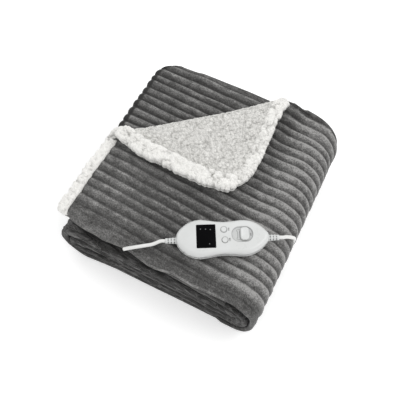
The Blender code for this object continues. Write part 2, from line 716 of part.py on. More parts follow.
def hank(parts, material):
    """The stored length of the mains lead: the outer shape of its turns, with round ends."""
    outline = rounded_box(HANK_RUN + HANK_WIDTH, HANK_WIDTH, HANK_WIDTH / 2 - 0.1 * MM, 6)
    mesh = prism("lead_hank", outline, 0, HANK_HEIGHT)
    thing = new_object("lead_hank", mesh, parts, material)
    round_rim(thing, True, HANK_RIM, 2)
    thing.location = (*HANK_MIDDLE, 0)


def plug(parts, cutters):
    """A flat two-pin plug that lies on the floor, pins to the left."""
    x, y, z = PLUG_AT
    narrow, wide = PLUG_WIDTHS
    far = x - PLUG_LENGTH
    neck, shoulder = x - PLUG_NECK[0], x - PLUG_NECK[1]
    outline = [(x, y + narrow / 2), (neck, y + narrow / 2), (shoulder, y + wide / 2),
               (far, y + wide / 2), (far, y - wide / 2), (shoulder, y - wide / 2),
               (neck, y - narrow / 2), (x, y - narrow / 2)]
    low = z - PLUG_THICK / 2
    body = new_object("plug_body", prism("plug_body", outline, low, low + PLUG_THICK), parts,
                      new_material("plug_white", WHITE, 0.4), 0.6)
    round_rim(body, True, PLUG_RIM, 2)
    round_rim(body, False, PLUG_RIM, 2)
    steel = new_material("pin_steel", (0.7, 0.7, 0.68, 1), 0.25, 1.0)
    for name, side in (("plug_pin_front", -1), ("plug_pin_back", 1)):
        pin = new_object(name, prism(name, circle(PIN_RADIUS, 12), 0, PIN_ROOT + PIN_LENGTH),
                         parts, steel, 0.6)
        pin.rotation_euler = (0, -math.pi / 2, 0)
        pin.location = (far + PIN_ROOT, y + side * PIN_APART / 2, z)
        hole = new_object(name + "_hole", prism(name + "_hole", circle(PIN_RADIUS + CASE_GAP, 12),
                                                0, PIN_ROOT + 5 * MM), cutters)
        hole.rotation_euler = (0, -math.pi / 2, 0)
        hole.location = (far + PIN_ROOT + CASE_GAP, y + side * PIN_APART / 2, z)
        cut(body, hole)


# ================================================================ the whole blanket
def clear_scene():
    """Removes the objects that a new file starts with."""
    for thing in list(bpy.data.objects):
        bpy.data.objects.remove(thing)


def build():
    """Makes every piece."""
    clear_scene()
    parts = new_collection("heated_blanket")
    cutters = new_collection("cutters")
    cloth = new_object("ribbed_face", folded_cloth(), parts,
                       new_material("grey_flannel", (0.075, 0.073, 0.071, 1), 0.9))
    cut(cloth, corner_cutter(cutters))
    cut(cloth, lead_socket(cutters))
    new_object("pale_backing", pale_backing(), parts,
               new_material("pale_pile", (0.78, 0.76, 0.71, 1), 0.95))
    frame = controller_empty()
    controller(parts, cutters, frame)
    rubber = new_material("lead_white", (0.8, 0.8, 0.79, 1), 0.5)
    blanket_exit, mains_exit = lead_exit(-1), lead_exit(1)
    lead("lead_blanket", blanket_exit + [Vector(p) * MM for p in BLANKET_ROUTE], parts, rubber)
    lead("lead_mains", mains_exit + [Vector(p) * MM for p in MAINS_ROUTE], parts, rubber)
    hank(parts, rubber)
    lead("lead_tail", [Vector(p) * MM for p in TAIL_ROUTE], parts, rubber)
    plug(parts, cutters)
    for thing in bpy.data.objects:
        if thing.parent is None:
            thing.location -= Vector((*MIDDLE, 0))


build()
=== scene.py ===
"""Looks of a folded heated throw: ribbed flannel, turned pile corner, hand controller and leads.

Lengths in the tables are millimetres, counted from under the front left corner of the top leaf,
as in the solids' source; to_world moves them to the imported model's frame, in metres.
"""
import math

import bmesh
import bpy
import numpy as np
from bpy.props import FloatProperty, FloatVectorProperty, PointerProperty
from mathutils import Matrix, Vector


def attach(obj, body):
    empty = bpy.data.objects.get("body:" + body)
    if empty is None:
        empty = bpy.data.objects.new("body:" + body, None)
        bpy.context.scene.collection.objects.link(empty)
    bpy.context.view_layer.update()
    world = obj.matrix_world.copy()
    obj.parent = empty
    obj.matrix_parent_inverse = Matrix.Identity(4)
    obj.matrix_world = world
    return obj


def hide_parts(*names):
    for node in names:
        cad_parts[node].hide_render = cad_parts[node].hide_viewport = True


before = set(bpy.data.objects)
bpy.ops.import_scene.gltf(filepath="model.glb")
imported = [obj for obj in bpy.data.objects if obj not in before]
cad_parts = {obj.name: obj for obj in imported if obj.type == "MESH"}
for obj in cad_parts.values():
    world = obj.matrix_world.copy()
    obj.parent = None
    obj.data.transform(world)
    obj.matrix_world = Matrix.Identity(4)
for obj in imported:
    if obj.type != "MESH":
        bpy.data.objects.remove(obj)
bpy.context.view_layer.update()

bl_info = {
    "name": "Folded heated throw",
    "version": (1, 0, 0),
    "blender": (4, 5, 0),
    "location": "3D View > Sidebar > Throw",
    "description": "Builds the visible pieces of a folded heated throw over its packed solids",
    "category": "Add Mesh",
}

MM = 0.001
MIDDLE = (153.8, 157.8)          # middle of the folded throw, from the leaf's corner

# ------------------------------------------------------------------ folded cloth
RIB_PITCH = 16.1
RIB_FIRST = 7.1                  # y of the first groove
# How far each groove strays from the even pitch, front to back.
GROOVE_STRAY = (-1.7, 0.7, 1.7, 0.5, 0.5, 0.5, 1.2, 1.1, 2.6, 3.4, 2.6, 3.2, 2.5, 1.7, 3.0, 1.4,
                0.3, 1.4, -1.7, 0.0, 0.0)
RIB_SKEW = 9.0                   # the leaf's grooves lie this much further back at its left edge
RIB_SAMPLES = 10                 # grid columns for one rib
FOLD_X = 262.0                   # the right fold begins here
HOLLOW_FROM = 20.0               # the pad is hollow before this y, and full further back
HOLLOW_SLOPE = 110.0
FOLD_PUFF = 6.0                  # the leaf is this much fuller from PUFF_X on
PUFF_X = 250.0
PRESS_Y = 92.0                   # but pressed down here, beside the controller
PRESS_WIDTH = 40.0
SPLAY = 0.036                    # the right fold stands out towards the front
MIDDLE_Y = 160.0
BACK_ROUND_Y = 312.0             # rounding of its back corner
BACK_ROUND_X = 2.0
BACK_ROUND_LENGTH = 20.0
SQUEEZE_Y = 280.0                # grooves behind this draw together
CORNER_ROUND_Y = 290.0           # rounding of the second leaf's back left corner
CORNER_ROUND_X = 40.0
CORNER_ROUND_LENGTH = 46.0
CORNER_ROUND_WIDTH = 60.0
HEM_ROLL = (4.5, 3.6, 3.6)       # rolled hem: distance from the back edge, width, height
HEM_DIP = (13.0, 4.0, -2.4)      # dip before it

# Darkest and lightest tone of the painted sheen and shade on the leaf's ribs, at places from left to
# right; towards the right fold it is lighter, as painted sheen.
RIB_SHEEN_AND_SHADE = (
    (-20, 0.06, 0.62), (30, 0.07, 0.62), (60, 0.10, 0.50), (100, 0.05, 0.44), (150, 0.02, 0.44),
    (200, 0.03, 0.50), (245, 0.05, 0.74), (275, 0.13, 1.1), (330, 0.10, 0.9),
)
SECOND_TONES = (0.01, 0.54)      # the same on the second leaf
SMOOTH_SHADE = 0.08               # the side without ribs, painted dark as shade of the lower layers where it shows
INNER_SHADE = 0.10                # painted shade on the plain edges of the inner plies, under the top leaf

PLY_COLUMNS = ("name", "x_left", "x_right", "z_left", "z_mid", "z_right", "thick",
               "front_left", "front_mid", "front_right", "back_left", "back_mid", "back_right",
               "ribs", "grid", "fill")
PLIES = (
    ("leaf", -3.5, 262, 114.5, 114.5, 114.5, 7, -12, -13, -14, 342, 341, 336, 1.0, 60, 0),
    ("floor", 26, 262, 4.4, 4.4, 4.4, 9, -29, -22, -17, 318, 322, 326, 0.0, 10, 0),
    ("pad_top", 14, 290, 66, 45, 62, 16, -25, -15, -15, 318, 322, 324, 0.5, 40, 30),
    ("pad_upper", 8, 292, 40, 29, 42, 14, -26, -17, -16, 318, 320, 322, 0.4, 24, 20),
    ("pad_lower", 8, 280, 20, 15, 22, 12, -28, -20, -17, 318, 320, 322, 0.4, 20, 9),
    ("under", -12, 272, 89.5, 88.5, 85.5, 7, -6, -8, -14, 326, 334, 334, 0.4, 18, 0),
    ("second", -12, 272, 98.5, 98.5, 98.5, 7, -4, -12, -15, 332, 340, 342, 0.86, 44, 0),
)
# Front edge of the leaf: x and y along it.
LEAF_FRONT = (
    (-3, -11.3), (5, -12), (17, -15.5), (36, -17.4), (54, -17), (70, -18.5), (82, -17),
    (98, -15), (112, -13.4), (120, -15.5), (136, -18.3), (150, -20.4), (163, -20.3),
    (172, -18.5), (186, -15), (200, -15.3), (222, -16.7), (237, -15), (262, -14),
)
# Bends, right and left by turns: reach, grid, and how square each half is.
BENDS = (
    (58, 40, 0.74, 0.70),
    (35, 24, 0.9, 1.0),
    (9, 8, 1.0, 1.0),
    (9, 8, 1.0, 1.0),
    (32, 14, 0.8, 0.9),
    (8, 10, 1.0, 1.0),
)

# ------------------------------------------------------------------ turned corner
TURN_A = (-18.0, 129.0)
TURN_B = (217.0, 335.0)
TURN_LENGTH = math.dist(TURN_A, TURN_B)
TURN_ALONG = [(b - a) / TURN_LENGTH for a, b in zip(TURN_A, TURN_B)]
# How far the turned corner reaches past the line, at places along it.
TURN_REACH = (
    (-4, -4), (0, 2), (8.6, 16), (22, 38), (37, 58), (55.6, 80.5), (80.7, 103), (103, 121),
    (119, 135), (136, 149), (156, 161), (173, 169), (188, 165.5), (208, 158), (221, 147.5),
    (241.6, 121), (262, 94), (280, 68), (296, 49), (312.5, 37),
)
# How far the roll bulges behind the line, as a share of its height, at places along it.
ROLL_BULGE = (
    (0, 0.15), (10, 0.45), (22, 0.7), (35, 0.8), (60, 0.5), (80, 0.35), (200, 0.33),
    (240, 0.42), (280, 0.6), (312, 0.6),
)
# Hems of the corner, towards A and towards B: first and last place along the line, width,
# softness and fullness, and the place, width and depth of the seam inside.
CORNER_HEMS = ((-10, 176, 17, 8, 1.0, 22, 2.2, 1.0), (172, 320, 12, 7, 0.7, 15, 2.0, 0.6))
SHEET_FRONT = -11.0
SHEET_RIGHT = 262.0
SHEET_BACK = 336.0
SHEET_Z = 106.5
BACKING_THICK = 4.0
FLAP_THICK = 9.0
HEM_THICK = 13.0
HEM_WIDTH = 16.0
FLAP_REST = 122.2
HOOD_LIFT = 5.0
HOOD_LENGTH = 75.0
LEAF_LIFT = 6.0

# ------------------------------------------------------------------ controller
CONTROLLER_AT = (232.0, 65.0, 122.6)
CONTROLLER_TURN = math.radians(30.6)
# Outline of the case: place along it and half width there.
CASE_OUTLINE = (
    (-69.5, 0), (-68.2, 7), (-64.5, 13.5), (-58, 20), (-49, 25.8), (-37, 29.2), (-24, 28.6),
    (-10, 26.2), (3, 25.0), (16, 25.8), (29, 27.0), (41, 25.8), (51, 21.6), (59, 16),
    (65, 9.8), (68.6, 5), (69.5, 0),
)
CASE_END = 69.5
CASE_HEIGHT = 21.0
CASE_SPLIT = 9.0
CASE_GAP = 0.3
COVER_ROUND = 6.5
BASE_ROUND = 7.5
SEAM_ROUND = 0.5                 # where the two halves meet
WINDOW_AT = (-24.5, 1.2)
WINDOW_SIZE = (29.0, 37.2)
WINDOW_DOTS = ((-32.4, 12.6), (-24.9, 12.3), (-17.8, 11.5), (-19.6, -11.1))
BUTTONS = (("button_upper", "upper_button", 2.3, 11.0), ("button_lower", "lower_button", 3.3, -5.6))
WINDOW_SUNK = 0.5
BUTTON_RADIUS = 4.2
BUTTON_PROUD = 1.4
BUTTON_DEEP = 2.6
RING_DEEP = 1.3                  # hollow round a button
SWITCH_AT = (29.5, 3.0)
SWITCH_WELL = (31.6, 23.6)
SWITCH_WELL_ROUND = 11.3
SWITCH_WELL_DEEP = 2.4
KNOB_AT = 33.0
KNOB_SIZE = (12.5, 20.0, 5.2)
RELIEF_OUT = 16.0
RELIEF_ROOT = 5.0
RELIEF_RADIUS = (5.4, 3.9)
RELIEF_Z = 9.0
SLOT_PITCH = 4.6                 # of the slots that make a boot supple
SLOTS_END = 14.8

# ------------------------------------------------------------------ leads
CORD = 5.5
BLANKET_ROUTE = (
    (144, 9, 129), (134, 1.2, 128), (126, -4.2, 126.3), (119, -8.6, 123.8), (113, -11.8, 120.8),
    (108.5, -14.2, 117.8), (106, -15.4, 115.8),
)
MAINS_ROUTE = (
    (314, 117, 125.2), (320, 123, 117), (324, 128.6, 106.5), (325.6, 132.6, 94), (325.2, 135, 81),
    (325, 136, 68), (325.4, 137, 54), (325.4, 139.5, 42), (323.8, 143.5, 30),
    (321, 148.5, 18.5), (315, 156.5, 9), (310, 168, 3.8), (307.6, 186, 2.95),
    (306.4, 215, 2.95), (305, 250, 2.95), (303.5, 280, 2.95), (300, 303, 2.95),
    (291, 321, 2.95), (277, 332.5, 2.95), (258, 337, 2.95), (235, 337, 2.95), (214, 337, 2.95),
)
TAIL_ROUTE = (
    (92, 340, 14.0), (81.5, 340.4, 13.2), (77, 342.4, 10.8), (71.5, 345, 8), (66, 346, 7.1),
    (62.3, 346, 7.1),
)
HANK_MIDDLE = (150.0, 359.0)
HANK_RUN = 95.0
# Turns of the hank: radius of its ends and height of its axis.
HANK_TURNS = ((22.0, 2.95), (16.5, 2.95), (16.5, 8.55), (22.0, 8.55), (19.0, 14.1))
HANK_PART_TURN = 0.315

# ------------------------------------------------------------------ camera
CAMERA_AT = (353.9, -227.5, 977.5)
CAMERA_DOWN = math.radians(65.829)
CAMERA_TURN = math.radians(28.689)


# ================================================================== settings
def colour_setting(name, description, default):
    """A colour setting."""
    return FloatVectorProperty(name=name, description=description, default=default,
                               subtype="COLOR", min=0, max=1)


class ThrowCloth(bpy.types.PropertyGroup):
    """Sizes and colours of the ribbed flannel."""
    rib_height: FloatProperty(name="Rib height", description="Crest above groove",
                              default=3.6 * MM, min=0.0, max=8 * MM, unit="LENGTH")
    unevenness: FloatProperty(name="Unevenness", description="How far the layers swell and dip",
                              default=1.0, min=0.0, max=2.0, subtype="FACTOR")
    # crest and groove colour are the light and dark ends of the painted sheen and shade on the ribs
    crest: colour_setting("Crest colour", "Nap on the ribs", (0.310, 0.306, 0.300))
    groove: colour_setting("Groove colour", "Nap in the grooves", (0.020, 0.0195, 0.019))


class ThrowPile(bpy.types.PropertyGroup):
    """Sizes and colours of the curly pile."""
    curl: FloatProperty(name="Curl size", description="Distance of neighbouring curls",
                        default=5.6 * MM, min=2 * MM, max=12 * MM, unit="LENGTH")
    depth: FloatProperty(name="Pile depth", description="How far the curls stand out",
                         default=3.2 * MM, min=0.0, max=6 * MM, unit="LENGTH")
    # the root colour is painted shade in the depth of the pile
    light: colour_setting("Curl colour", "Tips of the pile", (0.90, 0.89, 0.86))
    shade: colour_setting("Root colour", "Depth of the pile", (0.20, 0.194, 0.180))


class ThrowCase(bpy.types.PropertyGroup):
    """Colours of the controller, the leads and the plug."""
    plastic: colour_setting("Case colour", "Moulded white plastic", (0.64, 0.65, 0.645))
    lead: colour_setting("Lead colour", "Jacket of both leads", (0.74, 0.74, 0.73))


class ThrowStage(bpy.types.PropertyGroup):
    """Light, floor and lens."""
    lens: FloatProperty(name="Lens", description="Focal length on a 36 mm sensor",
                        default=54.0, min=10.0, max=200.0, unit="CAMERA")
    key: FloatProperty(name="Key light", description="Power of the large soft light",
                       default=9.0, min=0.0, unit="POWER")
    fill: FloatProperty(name="Room light", description="Strength of the even light",
                        default=0.9, min=0.0)


# ================================================================== plain helpers
def to_world(points):
    """Table millimetres to world metres."""
    return (np.asarray(points, float) - (*MIDDLE, 0.0)) * MM


def from_case(points):
    """Controller millimetres to world metres: turned about the vertical, then moved."""
    points = np.asarray(points, float)
    cosine, sine = math.cos(CONTROLLER_TURN), math.sin(CONTROLLER_TURN)
    x = points[..., 0] * cosine - points[..., 1] * sine + CONTROLLER_AT[0]
    y = points[..., 0] * sine + points[..., 1] * cosine + CONTROLLER_AT[1]
    return to_world(np.stack([x, y, points[..., 2] + CONTROLLER_AT[2]], axis=-1))


def smooth_step(value):
    """0 below 0, 1 above 1 and smooth between."""
    value = np.clip(value, 0.0, 1.0)
    return value * value * (3 - 2 * value)


def bell(distance, width):
    """1 at distance 0, falling off on both sides like a bell."""
    return np.exp(-(distance / width) ** 2)


def quarter_circle(share, least=0.0):
    """Height of a quarter circle that starts upright at share 0 and is level at share 1."""
    return np.sqrt(np.clip(1 - (1 - np.clip(share, 0, 1)) ** 2, least, 1))


def soft_noise(x, y, seed):
    """Smooth noise from -1 to 1: random values on whole numbers, blended by a cubic."""
    size = 61
    table = np.random.default_rng(seed).random((size, size)) * 2 - 1
    x, y = np.broadcast_arrays(np.asarray(x, float), np.asarray(y, float))
    low_x, low_y = np.floor(x).astype(int), np.floor(y).astype(int)
    part_x, part_y = smooth_step(x - low_x), smooth_step(y - low_y)
    corner = [[table[(low_x + i) % size, (low_y + j) % size] for j in (0, 1)] for i in (0, 1)]
    near, far = (pair[0] * (1 - part_y) + pair[1] * part_y for pair in corner)
    return near * (1 - part_x) + far * part_x


def curl_field(x, y, seed):
    """Round bumps on a jittered grid: height 1 at each bump's middle, falling with distance."""
    size = 89
    table = np.random.default_rng(seed).random((size, size, 3))
    low_x, low_y = np.floor(x).astype(int), np.floor(y).astype(int)
    best = np.full(np.shape(x), -1.0)
    for i in (-1, 0, 1):
        for j in (-1, 0, 1):
            spot = table[(low_x + i) % size, (low_y + j) % size]
            away = np.hypot(low_x + i + 0.15 + 0.7 * spot[..., 0] - x,
                            low_y + j + 0.15 + 0.7 * spot[..., 1] - y)
            best = np.maximum(best, (0.65 + 0.35 * spot[..., 2]) - 1.35 * away ** 2)
    return np.clip(best, -0.35, 1.0)


def smooth_curve(route, spacing):
    """Points about one spacing apart on a Catmull-Rom curve through the route."""
    route = np.asarray(route, float)
    ends = np.concatenate([[2 * route[0] - route[1]], route, [2 * route[-1] - route[-2]]])
    t = np.linspace(0, 1, 25)[:-1, None]
    pieces = [0.5 * (2 * b + (c - a) * t + (2 * a - 5 * b + 4 * c - d) * t ** 2
                     + (3 * b - a - 3 * c + d) * t ** 3)
              for a, b, c, d in zip(ends[:-3], ends[1:-2], ends[2:-1], ends[3:])]
    dense = np.concatenate(pieces + [route[-1:]])
    lengths = np.concatenate([[0], np.cumsum(np.linalg.norm(np.diff(dense, axis=0), axis=1))])
    wanted = np.linspace(0, lengths[-1], max(6, round(lengths[-1] / spacing)) + 1)
    return np.stack([np.interp(wanted, lengths, column) for column in dense.T], axis=1)


def surface(name, points, materials, ring=True, caps=False, faces_material=None, **masks):
    """A mesh over a grid of world points, rows by columns.

    ring joins the last column to the first, and caps closes the first and last row with one
    face each. masks are values that the mesh holds at its points. Doubled points are merged.
    """
    rows, columns = points.shape[:2]
    index = np.arange(rows * columns).reshape(rows, columns)
    if ring:
        index = np.concatenate([index, index[:, :1]], axis=1)
    quads = np.stack([index[:-1, :-1], index[:-1, 1:], index[1:, 1:], index[1:, :-1]], axis=-1)
    faces = quads.reshape(-1, 4).tolist()
    if caps:
        faces += [list(range(columns)), list(range((rows - 1) * columns, rows * columns))]
    mesh = bpy.data.meshes.new(name)
    mesh.from_pydata(points.reshape(-1, 3), [], faces)
    for material in materials:
        mesh.materials.append(material)
    if faces_material is not None:
        kinds = np.zeros(len(faces), np.int32)
        kinds[:faces_material.size] = faces_material.reshape(-1)
        mesh.polygons.foreach_set("material_index", kinds)
    for mask, values in masks.items():
        layer = mesh.attributes.new(mask, "FLOAT", "POINT")
        layer.data.foreach_set("value", np.asarray(values, np.float32).reshape(-1))
    shape = bmesh.new()
    shape.from_mesh(mesh)
    bmesh.ops.remove_doubles(shape, verts=shape.verts, dist=1e-6)
    bmesh.ops.recalc_face_normals(shape, faces=shape.faces)
    shape.to_mesh(mesh)
    shape.free()
    mesh.shade_smooth()
    return shown(name, mesh)


def shown(name, data):
    """An object of the scene that holds the data."""
    thing = bpy.data.objects.new(name, data)
    bpy.context.scene.collection.objects.link(thing)
    return thing


def ring_normals(points):
    """Unit normals of a grid of points whose last column meets the first."""
    around = np.roll(points, -1, axis=1) - np.roll(points, 1, axis=1)
    normals = np.cross(np.gradient(points, axis=0), around)
    return normals / np.maximum(np.linalg.norm(normals, axis=-1, keepdims=True), 1e-12)


def settle(piece, body, slot, *nodes):
    """A piece takes the place of its solids and rides their body."""
    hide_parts(*nodes)
    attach(piece, body)


# ================================================================== materials
class Tree:
    """A node tree with short calls for its nodes; a socket is fed a value or an output."""

    def __init__(self, tree):
        self.tree = tree

    def feed(self, node, feeds):
        """Sets a node's sockets, or links outputs to them."""
        for socket, value in feeds.items():
            if isinstance(value, bpy.types.NodeSocket):
                self.tree.links.new(value, node.inputs[socket])
            else:
                node.inputs[socket].default_value = value

    def node(self, kind, feeds, **settings):
        """The outputs of a new node."""
        node = self.tree.nodes.new("ShaderNode" + kind)
        for key, value in settings.items():
            setattr(node, key, value)
        self.feed(node, feeds)
        return node.outputs

    def place(self, stretch=None):
        """Object coordinates, stretched along an axis where its number is below 1."""
        place = self.node("TexCoord", {})["Object"]
        if stretch is None:
            return place
        return self.node("VectorMath", {0: place, 1: stretch}, operation="MULTIPLY")[0]

    def noise(self, vector, scale, detail=3.0, roughness=0.5, distortion=0.0):
        """Noise at a scale in cells a metre: its value and its colour."""
        return self.node("TexNoise", {"Vector": vector, "Scale": scale, "Detail": detail,
                                      "Roughness": roughness, "Distortion": distortion})

    def join(self, operation, first, *others, clamp=False):
        """A sum, product or the like of values."""
        for other in others:
            first = self.node("Math", {0: first, 1: other}, operation=operation, use_clamp=clamp)[0]
        return first

    def mix(self, factor, first, second, blend="MIX"):
        """Two colours mixed by a factor."""
        return self.node("Mix", {0: factor, 6: first, 7: second}, data_type="RGBA",
                         blend_type=blend)[2]

    def span(self, value, low, high, to_low=0.0, to_high=1.0):
        """A value mapped from one range to another, held at its ends."""
        return self.node("MapRange", dict(enumerate((value, low, high, to_low, to_high))))[0]

    def mask(self, name):
        """A value that the piece's mesh holds at its points."""
        return self.node("Attribute", {}, attribute_name=name)["Fac"]


def nap_group(tree, given):
    """Brushed nap: patches that lie this way or that, fine grain, and the painted sheen and shade of the
    ribs, dark in the grooves.

    Where the mask of layers says so, thin lighter wavy lines, painted highlights, show the ends of many
    pressed layers.
    """
    place = tree.place()
    streaks = tree.noise(tree.place((0.22, 1.0, 1.0)), 210.0, 4.0, 0.6, 0.5)[0]
    patches = tree.noise(place, 90.0, 5.0, 0.62, 0.6)[0]
    grain = tree.noise(place, 520.0, 2.0, 0.6)[0]
    lies = tree.join("MULTIPLY", given["Relief"],
                     tree.span(patches, 0.36, 0.66, 0.72, 1.30),
                     tree.span(streaks, 0.34, 0.66, 0.70, 1.32),
                     tree.span(grain, 0.36, 0.64, 0.52, 1.5),
                     tree.span(tree.noise(place, 17.0, 2.0)[0], 0.35, 0.65, 0.92, 1.08))
    # painted highlights: lighter wavy lines where the layers' ends show
    waves = tree.noise(tree.place((0.14, 1.0, 1.0)), 120.0, 2.0, 0.5, 1.2)[0]
    away = tree.join("ABSOLUTE", tree.join("SUBTRACT", waves, 0.5), 0.0)
    layers = tree.join("MULTIPLY", tree.span(away, 0.0, 0.05, 1.0, 0.0), given["Layers"])
    tone = tree.join("ADD", lies, tree.join("MULTIPLY", layers, 0.34), clamp=True)
    return {"Color": tree.mix(tone, given["Groove"], given["Crest"]),
            "Height": tree.join("ADD", patches, tree.join("MULTIPLY", grain, 0.5),
                                tree.join("MULTIPLY", layers, 2.0))}


def curl_group(tree, given):
    """Curly pile: bright curls with painted shade at their roots between them, and finer crimp on top,
    painted darker between its cells as shade.
    """
    place = tree.place()
    warp = tree.noise(place, 260.0, 2.0, 0.6)["Color"]
    shifted = tree.node("VectorMath", {0: warp, 1: (0.004, 0.004, 0.004), 2: place},
                        operation="MULTIPLY_ADD")[0]
    cells = tree.node("TexVoronoi", {"Vector": shifted, "Scale": 420.0}, feature="F1")
    crimp = tree.span(cells["Distance"], 0.1, 0.75, 1.0, 0.0)
    fine = tree.noise(place, 1500.0, 2.0, 0.6)[0]
    # the roots and the gaps between the crimps are painted darker, as shade
    tone = tree.join("ADD", tree.join("MULTIPLY", given["Relief"], 0.72),
                     tree.join("MULTIPLY", crimp, 0.36), clamp=True)
    return {"Color": tree.mix(tone, given["Root"], given["Curl"]),
            "Height": tree.join("ADD", crimp, tree.join("MULTIPLY", fine, 0.5))}


def mould_group(tree, given):
    """Moulded plastic: a faint fine texture, a slight change of tone and of gloss."""
    place = tree.place()
    cloud = tree.noise(place, 40.0, 3.0)[0]
    darker = tree.mix(1.0, given["Tone"], (0.95, 0.95, 0.945, 1), "MULTIPLY")
    return {"Color": tree.mix(tree.span(cloud, 0.35, 0.65), darker, given["Tone"]),
            "Roughness": tree.join("ADD", given["Gloss"], tree.span(cloud, 0.3, 0.7, -0.04, 0.05)),
            "Height": tree.noise(place, 2400.0, 1.0)[0]}


GREY = (0.5, 0.5, 0.5, 1)
GROUPS = {
    "nap": (nap_group, {"Crest": GREY, "Groove": GREY, "Relief": 1.0, "Layers": 0.0}),
    "curl": (curl_group, {"Curl": GREY, "Root": GREY, "Relief": 1.0}),
    "mould": (mould_group, {"Tone": GREY, "Gloss": 0.35}),
}


def shared_group(name):
    """A shader group from the table, built when first asked for."""
    if name in bpy.data.node_groups:
        return bpy.data.node_groups[name]
    build, inputs = GROUPS[name]
    group = bpy.data.node_groups.new(name, "ShaderNodeTree")
    for label, value in inputs.items():
        kind = "NodeSocketColor" if isinstance(value, tuple) else "NodeSocketFloat"
        group.interface.new_socket(label, in_out="INPUT", socket_type=kind).default_value = value
    start, end = group.nodes.new("NodeGroupInput"), group.nodes.new("NodeGroupOutput")
    tree = Tree(group)
    for label, value in build(tree, start.outputs).items():
        kind = "NodeSocketColor" if label == "Color" else "NodeSocketFloat"
        group.interface.new_socket(label, in_out="OUTPUT", socket_type=kind)
        tree.feed(end, {label: value})
    return group


def finish(name, group, given, constants, bump=None, over=None):
    """A material, made once: a shared group feeds the shader, beside its constants.

    given are the group's inputs by name, or the name of a mask of the mesh. bump is a bump's
    depth and strength. over gives the factor and the colour of a layer on top.
    """
    if name in bpy.data.materials:
        return bpy.data.materials[name]
    material = bpy.data.materials.new(name)
    material.use_nodes = True
    tree = Tree(material.node_tree)
    given = {key: tree.mask(value) if isinstance(value, str) else value
             for key, value in given.items()}
    made = tree.node("Group", given, node_tree=shared_group(group))
    feeds = {"Base Color": made["Color"], **constants}
    if over:
        factor, colour = over(tree)
        feeds["Base Color"] = tree.mix(factor, made["Color"], colour)
    if "Roughness" in made:
        feeds["Roughness"] = made["Roughness"]
    if bump:
        feeds["Normal"] = tree.node("Bump", {"Height": made["Height"], "Distance": bump[0],
                                             "Strength": bump[1]})[0]
    tree.feed(material.node_tree.nodes["Principled BSDF"], feeds)
    return material


def flannel():
    """Grey brushed flannel: velvety, lighter where it turns away, by its sheen and by the painted sheen
    and shade in its tone mask.
    """
    cloth = bpy.context.scene.throw_cloth
    return finish("grey_nap", "nap", {"Crest": (*cloth.crest, 1), "Groove": (*cloth.groove, 1),
                                      "Relief": "relief", "Layers": "layers"},
                  {"Roughness": 0.95, "Specular IOR Level": 0.1, "Sheen Weight": 0.22,
                   "Sheen Roughness": 0.35, "Sheen Tint": (0.9, 0.9, 0.9, 1)}, (0.8 * MM, 0.8))


def pile():
    """Off-white curly pile."""
    look = bpy.context.scene.throw_pile
    return finish("pale_curls", "curl", {"Curl": (*look.light, 1), "Root": (*look.shade, 1),
                                         "Relief": "relief"},
                  {"Roughness": 0.9, "Specular IOR Level": 0.15, "Sheen Weight": 0.25,
                   "Sheen Roughness": 0.6}, (1.0 * MM, 0.8))


def plastic(name, gloss=0.35, coat=0.0, colour=None, shine=0.5, over=None):
    """Moulded plastic, in the case's white or a colour of its own."""
    colour = colour or bpy.context.scene.throw_case.plastic
    return finish(name, "mould", {"Tone": (*colour, 1), "Gloss": gloss},
                  {"Specular IOR Level": shine, "Coat Weight": coat, "Coat Roughness": 0.1},
                  (0.02 * MM, 0.5), over)


def shaded(tree):
    """Dark grey, where the piece's mesh holds the value named shade."""
    return tree.mask("shade"), (0.10, 0.10, 0.10, 1)


# ================================================================== folded cloth
def parabola(left, middle, right, share):
    """The parabola through three values at shares 0, one half and 1."""
    return (left * (1 - share) * (1 - 2 * share) + 4 * middle * share * (1 - share)
            + right * share * (2 * share - 1))


def ply_values(ply, share):
    """Arrays of one ply at shares of its way from left to right."""
    sides = ("_left", "_mid", "_right")
    row = {key: parabola(*(ply[key + side] for side in sides), share)
           for key in ("z", "front", "back")}
    row["x"] = ply["x_left"] + (ply["x_right"] - ply["x_left"]) * share
    row["fill"] = 4 * ply["fill"] * share * (1 - share)
    name = ply["name"]
    plain = {"thick": ply["thick"], "ribs": ply["ribs"], "leaf": name == "leaf",
             "second": name == "second", "pad": name.startswith("pad"), "bend": 0}
    return row | {key: value * np.ones_like(share) for key, value in plain.items()}


def cloth_rows():
    """Values of every row along the cloth, one array for each.

    A ply runs between its ends with its height and edges on parabolas, and a bend is half an
    ellipse between two plies, as in the solids.
    """
    plies = [dict(zip(PLY_COLUMNS, row)) for row in PLIES]
    parts = []
    for index, ply in enumerate(plies):
        to_right = index % 2 == 0
        share = np.linspace(0, 1, ply["grid"])
        parts.append(ply_values(ply, share if to_right else share[::-1]))
        if index == len(BENDS):
            break
        reach, grid, square_from, square_to = BENDS[index]
        start = {key: array[-1] for key, array in parts[-1].items()}
        end = ply_values(plies[index + 1], np.array([float(to_right)]))
        angle = np.linspace(0, math.pi, grid + 1)[1:-1]
        power = np.where(angle < math.pi / 2, square_from, square_to)
        cosine = np.cos(angle)
        share = (1 - np.sign(cosine) * np.abs(cosine) ** power) / 2
        part = {key: start[key] * (1 - share) + end[key][0] * share for key in start}
        part["x"] = part["x"] + (reach if to_right else -reach) * np.sin(angle) ** power
        part["bend"] = np.full(len(angle), 1.0 + index)
        part["leaf"] = part["second"] = part["pad"] = part["fill"] = 0 * angle
        if index == 0:
            part["ribs"] = smooth_step((part["z"] - 6) / 30)
        parts.append(part)
    return {key: np.concatenate([part[key] for part in parts])[:, None] for key in parts[0]}


def turning_line_x(y):
    """x of the turning line at a y, where the leaf is turned back."""
    share = (y - TURN_A[1]) / (TURN_B[1] - TURN_A[1])
    return TURN_A[0] + (TURN_B[0] - TURN_A[0]) * np.clip(share, 0, 1)


